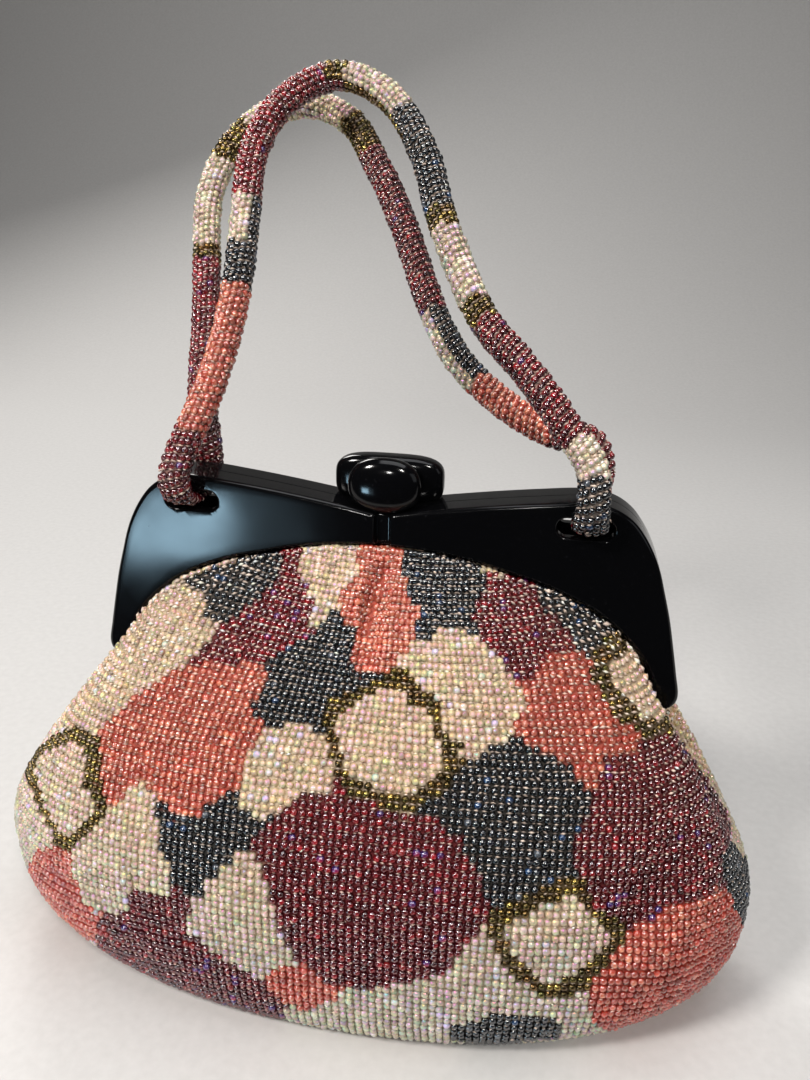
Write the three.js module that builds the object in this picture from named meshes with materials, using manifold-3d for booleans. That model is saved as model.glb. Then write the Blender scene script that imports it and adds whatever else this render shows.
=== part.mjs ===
// Beaded pouch handbag with a two-half moulded frame, a two-lobe clasp and two rope handles.
// Millimetres, +Z up, front facing -Y, origin at the middle of the flat bottom.
import * as THREE from "three";
import { mergeVertices } from "three/addons/utils/BufferGeometryUtils.js";
import Module from "manifold-3d";

const wasm = await Module();
wasm.setup();

// Frame sizes
const SLOT_HEIGHT = 149;        // height of the handle slots above the bottom
const FRAME_DEPTH = 15.5;       // both halves together, front to back
const HALF_GAP = 0.3;           // between the two halves
const PLATE = 3.0;              // face and rim thickness of a half
const EDGE_ROUND = 1.4;         // rounding of the face's edges
const SLOT_X = 57.5;
const SLOT_LENGTH = 16.0;
const SLOT_OPEN = 5.8;
const GROOVE_WIDTH = 4.4;
const GROOVE_DEPTH = 2.0;

// Hinge sizes
const HINGE_X = 84.5;           // line between the two knuckles of a hinge
const HINGE_Z = SLOT_HEIGHT - 50.5;
const KNUCKLE_RADIUS = 4.3;
const KNUCKLE_WIDTH = 3.0;
const PIN_RADIUS = 1.2;
const PIN_HEAD = 2.2;
const PIN_HEAD_LENGTH = 0.8;
const PLAY = 0.3;

// Right half of the frame's outer edge, from the dip in the middle to the leg: x and height from the slot
const OUTER_EDGE = [
  { x: 0.0, z: -0.7 }, { x: 11.0, z: 1.5 }, { x: 22.5, z: 3.4 }, { x: 33.5, z: 5.0 },
  { x: 44.5, z: 6.4 }, { x: 55.0, z: 7.5 }, { x: 61.0, z: 7.4 }, { x: 66.5, z: 5.7 },
  { x: 70.7, z: 2.8 }, { x: 74.0, z: -1.2 }, { x: 77.0, z: -6.3 }, { x: 79.2, z: -11.4 },
  { x: 81.2, z: -17.8 }, { x: 83.6, z: -26.0 }, { x: 85.6, z: -34.5 }, { x: 87.6, z: -43.6 },
  { x: 88.9, z: -50.0 },
];
// Right half of the arched cut-out, from the crown to the leg
const ARCH_EDGE = [
  { x: 0.0, z: -10.0 }, { x: 12.5, z: -10.6 }, { x: 24.6, z: -12.3 }, { x: 37.0, z: -15.4 },
  { x: 46.5, z: -18.0 }, { x: 56.0, z: -21.8 }, { x: 63.4, z: -25.8 }, { x: 70.0, z: -31.0 },
  { x: 76.0, z: -37.5 }, { x: 79.6, z: -44.0 },
];
// Round end of a leg below those two edges
const LEG_END = [
  { x: 88.5, z: -52.6 }, { x: 86.7, z: -54.4 }, { x: 84.4, z: -54.9 }, { x: 82.1, z: -54.1 },
  { x: 80.6, z: -52.2 }, { x: 80.1, z: -49.0 },
];

// Pouch sizes
const KNIT = 2.2;               // wall at the belly
const KNIT_RIM = 1.3;           // wall where it is held in the frame
const TUCK = 2.6;               // how far the rim reaches up behind the face
const BELLY_RIGHT = 117.5;
const BELLY_LEFT = 124.0;
const BELLY_FRONT = 55.0;
const BELLY_BACK = 46.0;
const BELLY_SHIFT = -9.0;       // the belly hangs forward of the frame
const BELLY_SIDE_Z = 35.5;
const BELLY_FRONT_Z = 43.0;
const BELLY_POWER = 2.25;       // roundness of the belly seen from above
const UPPER_SWELL = 0.35;       // fullness of the pouch just under the frame
const BELLY_SWELL = 0.75;       // further fullness towards the belly
const LOWER_POWER = 2.7;        // fullness from the belly to the bottom
const BASE_X = 70.0;
const BASE_Y = 41.0;
const AROUND = 56;
const UPPER_ROWS = 9;
const LOWER_ROWS = 7;
// Right half of the line where the beads leave the frame: the arch, then down past the hinge to the side
const BEAD_LINE = [
  ...ARCH_EDGE.slice(0, 9), { x: 77.6, z: -43.0 }, { x: 77.8, z: -49.5 }, { x: 79.2, z: -55.0 },
  { x: 82.2, z: -58.2 }, { x: 86.5, z: -59.4 },
];
// Rings near the frame: reach towards the frame's plate, distance from the middle plane, rounding at the side
const RIM_RINGS = [
  { reach: TUCK, y: 4.4, turn: 8 },
  { reach: -0.7, y: 4.4, turn: 9 },
  { reach: -1.3, y: 8.6, turn: 14 },
];
// Dents (positive depth) and swellings of the front: middle, sideways lean per height, half sizes and depth
const FOLDS = [
  { x: -1, z: 127, lean: 0.15, halfWidth: 8, halfHeight: 17, depth: 2.6 },
  { x: 19, z: 125, lean: -0.4, halfWidth: 8, halfHeight: 14, depth: -1.6 },
  { x: -38, z: 116, lean: 0.4, halfWidth: 10, halfHeight: 14, depth: 1.6 },
  { x: 83, z: 58, lean: 0.55, halfWidth: 9, halfHeight: 18, depth: 2.6 },
  { x: 89, z: 37, lean: 0, halfWidth: 15, halfHeight: 13, depth: -2.4 },
];
const FOLD_START = 0.1;         // share of the way from the frame to the belly where folds reach full depth

// Clasp sizes: middle and half sizes of the two lobes, height from the slot
const FRONT_LOBE = { y: -4.5, z: 7.6, halfX: 10.7, halfY: 4.35, halfZ: 8.3, power: 2.3 };
const BACK_LOBE = { y: 4.5, z: 7.0, halfX: 16.2, halfY: 4.35, halfZ: 7.4, power: 2.8 };

// Handle sizes
const ROPE_RADIUS = 4.7;
const SLOT_HALF_WIDTH = 6.0;    // the rope is pressed flat where it goes through a slot
const SLOT_HALF_THICK = 2.4;
const SLOT_REACH = 58.5;        // furthest from the middle that a rope's end lies in its slot
const ROPE_SIDES = 10;
const ROPE_STEPS = 58;
const FACE_STAND = 13.2;        // rope's middle from the frame's middle plane beside the face
const LEAN = 0.22;              // backward lean: LEAN * (height over LEAN_START) ** LEAN_POWER
const LEAN_POWER = 1.25;
const LEAN_START = 10;
// Route of each handle from its left slot to its right one: x and height from the slot
const FRONT_ROUTE = [
  { x: -57.5, z: 10 }, { x: -56, z: 19 }, { x: -51.5, z: 33 }, { x: -49, z: 48 }, { x: -48.5, z: 63 },
  { x: -50, z: 80 }, { x: -51, z: 97 }, { x: -44, z: 112 }, { x: -29, z: 119 }, { x: -12, z: 113 },
  { x: 2, z: 96 }, { x: 9, z: 80 }, { x: 16, z: 67 }, { x: 25, z: 53 }, { x: 38, z: 41 },
  { x: 49.5, z: 28.5 }, { x: 57.5, z: 18.5 }, { x: 58.5, z: 10 },
];
const BACK_ROUTE = [
  { x: -59.5, z: 10 }, { x: -63, z: 25 }, { x: -65, z: 44 }, { x: -68.5, z: 63 }, { x: -72, z: 82 },
  { x: -68, z: 98 }, { x: -57, z: 109 }, { x: -43, z: 112 }, { x: -29, z: 107 }, { x: -17, z: 93 },
  { x: -7, z: 78 }, { x: 1, z: 63 }, { x: 8, z: 50 }, { x: 17, z: 38 }, { x: 31, z: 27.5 },
  { x: 46, z: 20.5 }, { x: 58, z: 18.5 }, { x: 61, z: 10 },
];

function toSolid(geometry) {
  geometry.deleteAttribute("normal");
  geometry.deleteAttribute("uv");
  const merged = mergeVertices(geometry, 1e-4);
  return new wasm.Manifold(new wasm.Mesh({
    numProp: 3,
    vertProperties: new Float32Array(merged.attributes.position.array),
    triVerts: new Uint32Array(merged.index.array),
  }));
}

function toMesh(name, solid, colour, roughness) {
  const mesh = solid.getMesh();
  const geometry = new THREE.BufferGeometry();
  geometry.setAttribute("position", new THREE.BufferAttribute(new Float32Array(mesh.vertProperties), 3));
  geometry.setIndex(new THREE.BufferAttribute(new Uint32Array(mesh.triVerts), 1));
  geometry.computeVertexNormals();
  const out = new THREE.Mesh(geometry, new THREE.MeshStandardMaterial({ color: colour, roughness }));
  out.name = name;
  return out;
}

function box(x0, x1, y0, y1, z0, z1) {
  const geometry = new THREE.BoxGeometry(x1 - x0, y1 - y0, z1 - z0);
  geometry.translate((x0 + x1) / 2, (y0 + y1) / 2, (z0 + z1) / 2);
  return toSolid(geometry);
}

// A flat shape drawn in x and z, given its depth between two distances in front of the middle plane
function slab(points, near, far, round) {
  const shape = new THREE.Shape(points.map((p) => new THREE.Vector2(p.x, p.z)));
  const geometry = new THREE.ExtrudeGeometry(shape, {
    depth: far - near - round,
    bevelEnabled: round > 0,
    bevelThickness: round,
    bevelSize: round,
    bevelOffset: -round,
    bevelSegments: 3,
  });
  geometry.translate(0, 0, near);
  geometry.rotateX(Math.PI / 2);
  return toSolid(geometry);
}

function rod(radius, x0, x1, z, sides) {
  const geometry = new THREE.CylinderGeometry(radius, radius, x1 - x0, sides);
  geometry.rotateZ(Math.PI / 2);
  geometry.translate((x0 + x1) / 2, 0, z);
  return toSolid(geometry);
}

// A mirrored line from a table of its right half, smoothed; the first point of the table is in the middle
function mirroredLine(table, steps) {
  const right = table.map((p) => new THREE.Vector2(p.x, p.z + SLOT_HEIGHT));
  const half = new THREE.SplineCurve(right).getSpacedPoints(steps).map((p) => ({ x: p.x, z: p.y }));
  const left = half.slice(1).reverse().map((p) => ({ x: -p.x, z: p.z }));
  return [...left, ...half];
}

// The same line moved sideways in its own plane
function shifted(line, distance) {
  return line.map((p, i) => {
    const a = line[Math.max(0, i - 1)];
    const b = line[Math.min(line.length - 1, i + 1)];
    const length = Math.hypot(b.x - a.x, b.z - a.z);
    return { x: p.x + (distance * (b.z - a.z)) / length, z: p.z - (distance * (b.x - a.x)) / length };
  });
}

const outerLine = mirroredLine(OUTER_EDGE, 24);
const archLine = mirroredLine(ARCH_EDGE, 12);
const legEnd = LEG_END.map((p) => ({ x: p.x, z: p.z + SLOT_HEIGHT }));
const faceOutline = [
  ...outerLine,
  ...legEnd,
  ...archLine.slice().reverse(),
  ...legEnd.map((p) => ({ x: -p.x, z: p.z })).reverse(),
];

// One half of the frame, facing front: a face with a rim along its outer edge, two slots and two knuckles
function frameHalf(isFront) {
  const depth = FRAME_DEPTH / 2;
  const wall = slab(faceOutline, -EDGE_ROUND, depth, EDGE_ROUND);
  const kept = wall.intersect(box(-120, 120, -depth - 1, -HALF_GAP / 2, 0, 300));
  const pocketFloor = HINGE_Z + KNUCKLE_RADIUS + 1;
  const pocketTop = shifted(outerLine, PLATE).filter((p) => p.z > pocketFloor);
  const [pocketLeft, pocketRight] = [pocketTop[0], pocketTop[pocketTop.length - 1]];
  const pocketLine = [{ x: pocketLeft.x, z: pocketFloor }, ...pocketTop, { x: pocketRight.x, z: pocketFloor }];
  let half = kept.subtract(slab(pocketLine, -2, depth - PLATE, 0));
  for (const side of [-1, 1]) {
    const end = SLOT_LENGTH / 2 - SLOT_OPEN / 2;
    const oval = new THREE.Shape();
    oval.absarc(side * SLOT_X + end, SLOT_HEIGHT, SLOT_OPEN / 2, -Math.PI / 2, Math.PI / 2);
    oval.absarc(side * SLOT_X - end, SLOT_HEIGHT, SLOT_OPEN / 2, Math.PI / 2, 1.5 * Math.PI);
    const slotLine = oval.getPoints(8).slice(0, -1).map((p) => ({ x: p.x, z: p.y }));
    half = half.subtract(slab(slotLine, 1, depth + 2, 0));
  }
  if (isFront) {
    const floor = -depth + GROOVE_DEPTH;
    half = half.subtract(box(-GROOVE_WIDTH / 2, GROOVE_WIDTH / 2, -depth - 1, floor, 0, 300));
  }
  for (const side of [-1, 1]) {
    // The front half has the inner knuckle of each hinge and the back half the outer one
    const inner = [HINGE_X - PLAY / 2 - KNUCKLE_WIDTH, HINGE_X - PLAY / 2];
    const outer = [HINGE_X + PLAY / 2, HINGE_X + PLAY / 2 + KNUCKLE_WIDTH];
    const own = (isFront ? inner : outer).map((x) => side * x).sort((a, b) => a - b);
    const room = (isFront ? [HINGE_X - PLAY / 2, 95] : [75, HINGE_X + PLAY / 2]).map((x) => side * x);
    room.sort((a, b) => a - b);
    half = half.subtract(rod(KNUCKLE_RADIUS + PLAY, room[0], room[1], HINGE_Z, 28));
    const top = HINGE_Z + KNUCKLE_RADIUS;
    const arm = box(own[0], own[1], -depth + PLATE / 2, 0, HINGE_Z - KNUCKLE_RADIUS, top);
    half = half.add(arm.add(rod(KNUCKLE_RADIUS, own[0], own[1], HINGE_Z, 28)));
    half = half.subtract(rod(PIN_RADIUS + PLAY, side * HINGE_X - 8, side * HINGE_X + 8, HINGE_Z, 16));
    for (const end of [side * (inner[0] - 3), side * (outer[1] + 3)]) {
      half = half.subtract(rod(PIN_HEAD + PLAY, end - 3, end + 3, HINGE_Z, 16));
    }
  }
  return half;
}

function hingePin(side) {
  const reach = KNUCKLE_WIDTH + PLAY * 1.5;
  const tip = reach + PIN_HEAD_LENGTH;
  const profile = [
    new THREE.Vector2(0, -tip), new THREE.Vector2(PIN_HEAD, -tip), new THREE.Vector2(PIN_HEAD, -reach),
    new THREE.Vector2(PIN_RADIUS, -reach), new THREE.Vector2(PIN_RADIUS, reach),
    new THREE.Vector2(PIN_HEAD, reach), new THREE.Vector2(PIN_HEAD, tip), new THREE.Vector2(0, tip),
  ];
  const geometry = new THREE.LatheGeometry(profile, 14);
  geometry.rotateZ(-Math.PI / 2);
  geometry.translate(side * HINGE_X, 0, HINGE_Z);
  return toSolid(geometry);
}

// A rounded lobe resting on the dip of the frame's top edge
function claspLobe(lobe) {
  const geometry = new THREE.SphereGeometry(1, 22, 12);
  const position = geometry.attributes.position;
  for (let i = 0; i < position.count; i += 1) {
    const [x, y, z] = [position.getX(i), position.getZ(i), position.getY(i)];
    const p = lobe.power;
    const size = (Math.abs(x) ** p + Math.abs(y) ** p + Math.abs(z) ** p) ** (1 / p);
    position.setXYZ(i, (lobe.halfX * x) / size, (-lobe.halfY * y) / size, (lobe.halfZ * z) / size);
  }
  geometry.translate(0, lobe.y, lobe.z + SLOT_HEIGHT);
  const dip = outerLine.filter((p) => Math.abs(p.x) < 30).map((p) => ({ x: p.x, z: p.z + PLAY }));
  const below = [...dip, { x: 30, z: SLOT_HEIGHT - 20 }, { x: -30, z: SLOT_HEIGHT - 20 }];
  return toSolid(geometry).subtract(slab(below, -20, 20, 0));
}

const signedPower = (v, power) => Math.sign(v) * Math.abs(v) ** (2 / power);

// How far the folds push a point of the front inwards
function foldDepth(p) {
  return FOLDS.reduce((sum, fold) => {
    const along = (p.z - fold.z) / fold.halfHeight;
    const across = (p.x - fold.x - fold.lean * (p.z - fold.z)) / fold.halfWidth;
    return sum + fold.depth * Math.exp(-along * along - across * across);
  }, 0);
}

// Points of the pouch's outer face, ring after ring from the rim to the bottom
function pouchRings() {
  const line = mirroredLine(BEAD_LINE, 60).reverse();
  const along = [0];
  for (let i = 1; i < line.length; i += 1) {
    along.push(along[i - 1] + Math.hypot(line[i].x - line[i - 1].x, line[i].z - line[i - 1].z));
  }
  const total = along[along.length - 1];
  const rimPoint = (ring, turn) => {
    const front = turn <= Math.PI;
    const share = (front ? turn : 2 * Math.PI - turn) / Math.PI;
    const want = share * total;
    let i = 1;
    while (i < along.length - 1 && along[i] < want) i += 1;
    const t = (want - along[i - 1]) / (along[i] - along[i - 1]);
    const x = line[i - 1].x + t * (line[i].x - line[i - 1].x);
    const z = line[i - 1].z + t * (line[i].z - line[i - 1].z);
    const fromSide = Math.min(want, total - want);
    const round = Math.min(1, fromSide / ring.turn);
    const y = ring.y * Math.sqrt(1 - (1 - round) ** 2);
    const length = Math.hypot(line[i].x - line[i - 1].x, line[i].z - line[i - 1].z);
    const tuck = Math.min(1, Math.max(0, (fromSide - 21) / 12));
    const reach = ring.reach > 0 ? ring.reach * tuck : ring.reach * (1 - 0.5 * (1 - tuck));
    const nx = (-reach * (line[i].z - line[i - 1].z)) / length;
    const nz = (reach * (line[i].x - line[i - 1].x)) / length;
    return new THREE.Vector3(x - nx, front ? -y : y, z - nz);
  };
  const turns = Array.from({ length: AROUND }, (_, i) => (2 * Math.PI * i) / AROUND);
  const rings = RIM_RINGS.map((ring) => turns.map((turn) => rimPoint(ring, turn)));
  const start = rings[rings.length - 1];
  const belly = turns.map((turn) => {
    const [c, s] = [Math.cos(turn), Math.sin(turn)];
    const x = (c > 0 ? BELLY_RIGHT : BELLY_LEFT) * signedPower(c, BELLY_POWER);
    const y = BELLY_SHIFT - (s > 0 ? BELLY_FRONT : BELLY_BACK) * signedPower(s, BELLY_POWER);
    return new THREE.Vector3(x, y, BELLY_SIDE_Z + (BELLY_FRONT_Z - BELLY_SIDE_Z) * s * s);
  });
  for (let row = 1; row <= UPPER_ROWS; row += 1) {
    const t = row / UPPER_ROWS;
    const out = t + (UPPER_SWELL + BELLY_SWELL * t) * t * (1 - t);
    rings.push(start.map((a, i) => {
      const b = belly[i];
      const p = new THREE.Vector3(a.x + (b.x - a.x) * out, a.y + (b.y - a.y) * out, a.z + (b.z - a.z) * t);
      return turns[i] < Math.PI ? p.setY(p.y + foldDepth(p) * Math.min(1, t / FOLD_START)) : p;
    }));
  }
  for (let row = 1; row <= LOWER_ROWS; row += 1) {
    const angle = (row / LOWER_ROWS) * (Math.PI / 2);
    const out = Math.max(0, Math.cos(angle)) ** (2 / LOWER_POWER);
    const down = Math.sin(angle) ** (2 / LOWER_POWER);
    rings.push(belly.map((b, i) => {
      const x = BASE_X * signedPower(Math.cos(turns[i]), BELLY_POWER);
      const y = BELLY_SHIFT - BASE_Y * signedPower(Math.sin(turns[i]), BELLY_POWER);
      const p = new THREE.Vector3(x + (b.x - x) * out, y + (b.y - y) * out, b.z * (1 - down));
      return turns[i] < Math.PI ? p.setY(p.y + foldDepth(p) * (1 - down)) : p;
    }));
  }
  return rings;
}

// The pouch: its outer face, an inner face one wall inside it, a rim joining them and a flat bottom
function pouchSolid() {
  const outer = pouchRings();
  const last = outer.length - 1;
  const inner = outer.map((ring, row) => ring.map((p, i) => {
    const across = ring[(i + 1) % AROUND].clone().sub(ring[(i + AROUND - 1) % AROUND]);
    const down = outer[Math.min(last, row + 1)][i].clone().sub(outer[Math.max(0, row - 1)][i]);
    const normal = across.cross(down).normalize();
    const wall = KNIT_RIM + (KNIT - KNIT_RIM) * Math.min(1, row / 5);
    const q = p.clone().addScaledVector(normal, -wall);
    if (row >= last - 1) q.z = Math.max(q.z, KNIT);
    return q;
  }));
  const points = [...outer.flat(), ...inner.flat()];
  const offset = outer.length * AROUND;
  const faces = [];
  for (let row = 0; row < last; row += 1) {
    for (let i = 0; i < AROUND; i += 1) {
      const j = (i + 1) % AROUND;
      const [a, b, c, d] = [row * AROUND + i, row * AROUND + j, (row + 1) * AROUND + i, (row + 1) * AROUND + j];
      faces.push(a, b, c, b, d, c);
      faces.push(offset + a, offset + c, offset + b, offset + b, offset + c, offset + d);
    }
  }
  const centre = new THREE.Vector3(0, BELLY_SHIFT, 0);
  points.push(centre, centre.clone().setZ(KNIT));
  for (let i = 0; i < AROUND; i += 1) {
    const j = (i + 1) % AROUND;
    faces.push(i, offset + i, j, j, offset + i, offset + j);
    const [a, b] = [last * AROUND + i, last * AROUND + j];
    faces.push(a, b, points.length - 2, offset + b, offset + a, points.length - 1);
  }
  const geometry = new THREE.BufferGeometry();
  geometry.setAttribute("position", new THREE.Float32BufferAttribute(points.flatMap((p) => [p.x, p.y, p.z]), 3));
  geometry.setIndex(faces);
  return toSolid(geometry);
}

// A rope handle: flat in its slots, round above them, leaning back along its route
function handleSolid(route, isFront) {
  const face = isFront ? -1 : 1;
  const lean = (z) => LEAN * Math.max(0, z - LEAN_START) ** LEAN_POWER;
  const end = (x) => [
    new THREE.Vector3(x, face * 1.2, 0), new THREE.Vector3(x, face * 5, 0), new THREE.Vector3(x, face * 8.6, 0.2),
    new THREE.Vector3(x, face * 11.9, 2), new THREE.Vector3(x, face * FACE_STAND, 5.4),
  ];
  const middle = route.map((p) => new THREE.Vector3(p.x, face * FACE_STAND + lean(p.z), p.z));
  const leftX = Math.max(route[0].x, -SLOT_REACH);
  const rightX = Math.min(route[route.length - 1].x, SLOT_REACH);
  const path = [...end(leftX), ...middle, ...end(rightX).reverse()];
  path.forEach((p) => p.setZ(p.z + SLOT_HEIGHT));
  const curve = new THREE.CatmullRomCurve3(path, false, "centripetal");
  curve.arcLengthDivisions = 600;
  const points = [];
  for (let step = 0; step <= ROPE_STEPS; step += 1) {
    // Steps crowd towards the two ends, where the rope turns into its slots
    const t = step / ROPE_STEPS;
    const u = t - (0.7 * Math.sin(2 * Math.PI * t)) / (2 * Math.PI);
    const at = curve.getPointAt(u);
    const tangent = curve.getTangentAt(u);
    const height = at.z - SLOT_HEIGHT;
    const across = new THREE.Vector3(-8 - at.x, 0, Math.min(0, 50 - height));
    across.addScaledVector(tangent, -across.dot(tangent)).normalize();
    const away = across.clone().cross(tangent).normalize();
    const flat = Math.max(0, 1 - Math.max(0, height - 1) / 10);
    const press = flat * flat * (3 - 2 * flat);
    const halfWide = ROPE_RADIUS + (SLOT_HALF_WIDTH - ROPE_RADIUS) * press;
    const halfThick = ROPE_RADIUS + (SLOT_HALF_THICK - ROPE_RADIUS) * press;
    for (let k = 0; k < ROPE_SIDES; k += 1) {
      const angle = (2 * Math.PI * k) / ROPE_SIDES;
      const p = at.clone().addScaledVector(across, halfWide * Math.cos(angle));
      points.push(p.addScaledVector(away, halfThick * Math.sin(angle)));
    }
  }
  const faces = [];
  for (let step = 0; step < ROPE_STEPS; step += 1) {
    for (let k = 0; k < ROPE_SIDES; k += 1) {
      const m = (k + 1) % ROPE_SIDES;
      const [a, b] = [step * ROPE_SIDES + k, step * ROPE_SIDES + m];
      faces.push(a, a + ROPE_SIDES, b, b, a + ROPE_SIDES, b + ROPE_SIDES);
    }
  }
  const base = ROPE_STEPS * ROPE_SIDES;
  for (let k = 1; k < ROPE_SIDES - 1; k += 1) {
    faces.push(0, k, k + 1, base, base + k + 1, base + k);
  }
  const geometry = new THREE.BufferGeometry();
  geometry.setAttribute("position", new THREE.Float32BufferAttribute(points.flatMap((p) => [p.x, p.y, p.z]), 3));
  geometry.setIndex(faces);
  return toSolid(geometry);
}

const bag = new THREE.Group();
bag.name = "beaded_bag";
bag.add(toMesh("front_frame", frameHalf(true), 0x08080a, 0.15));
const backFrame = toMesh("back_frame", frameHalf(false), 0x08080a, 0.15);
backFrame.rotation.z = Math.PI;
bag.add(backFrame);
bag.add(toMesh("hinge_pin_left", hingePin(-1), 0x55555a, 0.4));
bag.add(toMesh("hinge_pin_right", hingePin(1), 0x55555a, 0.4));
bag.add(toMesh("pouch", pouchSolid(), 0xb98f83, 0.6));
bag.add(toMesh("clasp_front_lobe", claspLobe(FRONT_LOBE), 0x0a0a0c, 0.1));
bag.add(toMesh("clasp_back_lobe", claspLobe(BACK_LOBE), 0x0a0a0c, 0.1));
bag.add(toMesh("front_handle", handleSolid(FRONT_ROUTE, true), 0x7a2f3f, 0.5));
bag.add(toMesh("back_handle", handleSolid(BACK_ROUTE, false), 0x7a2f3f, 0.5));

export default bag;
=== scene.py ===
import bpy
import numpy as np
from mathutils import Matrix


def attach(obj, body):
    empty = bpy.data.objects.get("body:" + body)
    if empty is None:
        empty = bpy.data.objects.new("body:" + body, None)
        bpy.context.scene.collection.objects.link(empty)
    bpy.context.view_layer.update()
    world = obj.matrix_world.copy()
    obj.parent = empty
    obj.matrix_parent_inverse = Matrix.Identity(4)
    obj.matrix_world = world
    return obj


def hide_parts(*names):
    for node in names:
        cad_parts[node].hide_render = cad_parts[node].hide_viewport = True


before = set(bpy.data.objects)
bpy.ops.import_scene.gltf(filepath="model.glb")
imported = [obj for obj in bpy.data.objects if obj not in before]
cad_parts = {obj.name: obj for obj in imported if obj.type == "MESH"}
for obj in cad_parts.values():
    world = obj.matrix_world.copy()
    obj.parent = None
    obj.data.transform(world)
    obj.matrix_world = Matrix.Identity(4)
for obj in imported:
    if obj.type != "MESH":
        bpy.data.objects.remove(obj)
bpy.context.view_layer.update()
MM = 0.001


# Camera: a wide lens close to the bag, a little above it and to its right, turned slightly.
# Its picture is 810 pixels wide and 1080 high, and pixels of that picture place the knitted patches below.
PICTURE_WIDTH = 810
PICTURE_HEIGHT = 1080
LENS = 30.0
SENSOR = 36.0
CAMERA_AIM = np.array([6.8, -8.0, 141.8]) * MM
CAMERA_DISTANCE = 259.5 * MM
CAMERA_AZIMUTH = np.radians(8.97)
CAMERA_ELEVATION = np.radians(22.04)
CAMERA_ROLL = np.radians(1.2)

level = np.array([np.cos(CAMERA_AZIMUTH), np.sin(CAMERA_AZIMUTH), 0.0])
toward = np.array([-np.sin(CAMERA_AZIMUTH), np.cos(CAMERA_AZIMUTH), 0.0]) * np.cos(CAMERA_ELEVATION)
toward[2] = -np.sin(CAMERA_ELEVATION)
upright = np.cross(level, toward)
picture_right = level * np.cos(CAMERA_ROLL) + upright * np.sin(CAMERA_ROLL)
picture_up = upright * np.cos(CAMERA_ROLL) - level * np.sin(CAMERA_ROLL)
camera_place = CAMERA_AIM - toward * CAMERA_DISTANCE

camera_data = bpy.data.cameras.new("camera")
camera_data.sensor_fit = "VERTICAL"
camera_data.sensor_height = SENSOR
camera_data.lens = LENS
camera_data.clip_start = 0.01
camera = bpy.data.objects.new("camera", camera_data)
camera_axes = np.eye(4)
camera_axes[:3, :4] = np.stack([picture_right, picture_up, -toward, camera_place], axis=1)
camera.matrix_world = Matrix(camera_axes.tolist())
bpy.context.scene.collection.objects.link(camera)
bpy.context.scene.camera = camera


def picture_point(points):
    """Picture pixel of each point: its offset from the camera along the picture's right and up axes, over
    its depth, times the focal length in pixels, from the picture's middle; the pixel's y runs down."""
    offset = points - camera_place
    scale = PICTURE_HEIGHT * LENS / SENSOR / (offset @ toward)
    x = PICTURE_WIDTH / 2 + scale * (offset @ picture_right)
    y = PICTURE_HEIGHT / 2 - scale * (offset @ picture_up)
    return x, y


# Frame halves: two thin shells of black moulded plastic with rounded edges, polished and lightly handled.
# Each is a face with a rim along its outer edge, dipping to a groove in the middle of the front, with a slot
# for each end of its handle; the halves turn on knuckles at the ends of their legs.
SLOT_HEIGHT = 149.0
FRAME_DEPTH = 15.5
HALF_GAP = 0.3
PLATE = 3.0
EDGE_ROUND = 1.4
SLOT_X = 57.5
SLOT_LENGTH = 16.0
SLOT_OPEN = 5.8
SLOT_ROUND = 0.8
GROOVE_WIDTH = 4.4
GROOVE_DEPTH = 2.0
GROOVE_WALL = 1.2
HINGE_Z = SLOT_HEIGHT - 50.5
HINGE_X = 84.5
KNUCKLE_RADIUS = 4.3
KNUCKLE_WIDTH = 3.0
KNUCKLE_ROUND = 0.5
PLAY = 0.3
FRAME_STATIONS = 110
CURVE_STEPS = 60
EDGE_STEPS = 400
TIP_SHARE = 0.99
STATION_BLEND = 0.15
CORNER_SHARE = 0.3
RIM_SHARE = 0.4
CREASE = np.radians(38)
FRAME_BLACK = (0.0040, 0.0040, 0.0048, 1.0)
FRAME_DUST = (0.016, 0.016, 0.018, 1.0)
# Right half of the outer edge, from the dip round the shoulder to the leg's tip: x and height from the slot
OUTER_EDGE = np.array([
    (0.0, -0.7), (11.0, 1.5), (22.5, 3.4), (33.5, 5.0), (44.5, 6.4), (55.0, 7.5), (61.0, 7.4), (66.5, 5.7),
    (70.7, 2.8), (74.0, -1.2), (77.0, -6.3), (79.2, -11.4), (81.2, -17.8), (83.6, -26.0), (85.6, -34.5),
    (87.6, -43.6), (88.9, -50.0), (88.5, -52.6), (86.7, -54.4), (84.4, -54.9),
])
# Right half of the arched cut-out from its crown to the same tip
ARCH_EDGE = np.array([
    (0.0, -10.0), (12.5, -10.6), (24.6, -12.3), (37.0, -15.4), (46.5, -18.0), (56.0, -21.8), (63.4, -25.8),
    (70.0, -31.0), (76.0, -37.5), (79.6, -44.0), (80.1, -49.0), (80.6, -52.2), (82.1, -54.1), (84.4, -54.9),
])


def new_material(name):
    """An empty node material with its Principled shader; returns the material, its tree and the shader."""
    material = bpy.data.materials.new(name)
    material.use_nodes = True
    tree = material.node_tree
    return material, tree, tree.nodes["Principled BSDF"]


def ramp_between(tree, source, low, high, first, second):
    """A colour that goes from first to second as the source goes from low to high."""
    node = tree.nodes.new("ShaderNodeValToRGB")
    node.color_ramp.elements[0].position = low
    node.color_ramp.elements[1].position = high
    node.color_ramp.elements[0].color = first
    node.color_ramp.elements[1].color = second
    tree.links.new(source, node.inputs["Fac"])
    return node.outputs["Color"]


def range_between(tree, source, low, high):
    """A value from low to high as the source goes from 0 to 1."""
    node = tree.nodes.new("ShaderNodeMapRange")
    node.inputs["To Min"].default_value = low
    node.inputs["To Max"].default_value = high
    tree.links.new(source, node.inputs["Value"])
    return node.outputs["Result"]


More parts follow.
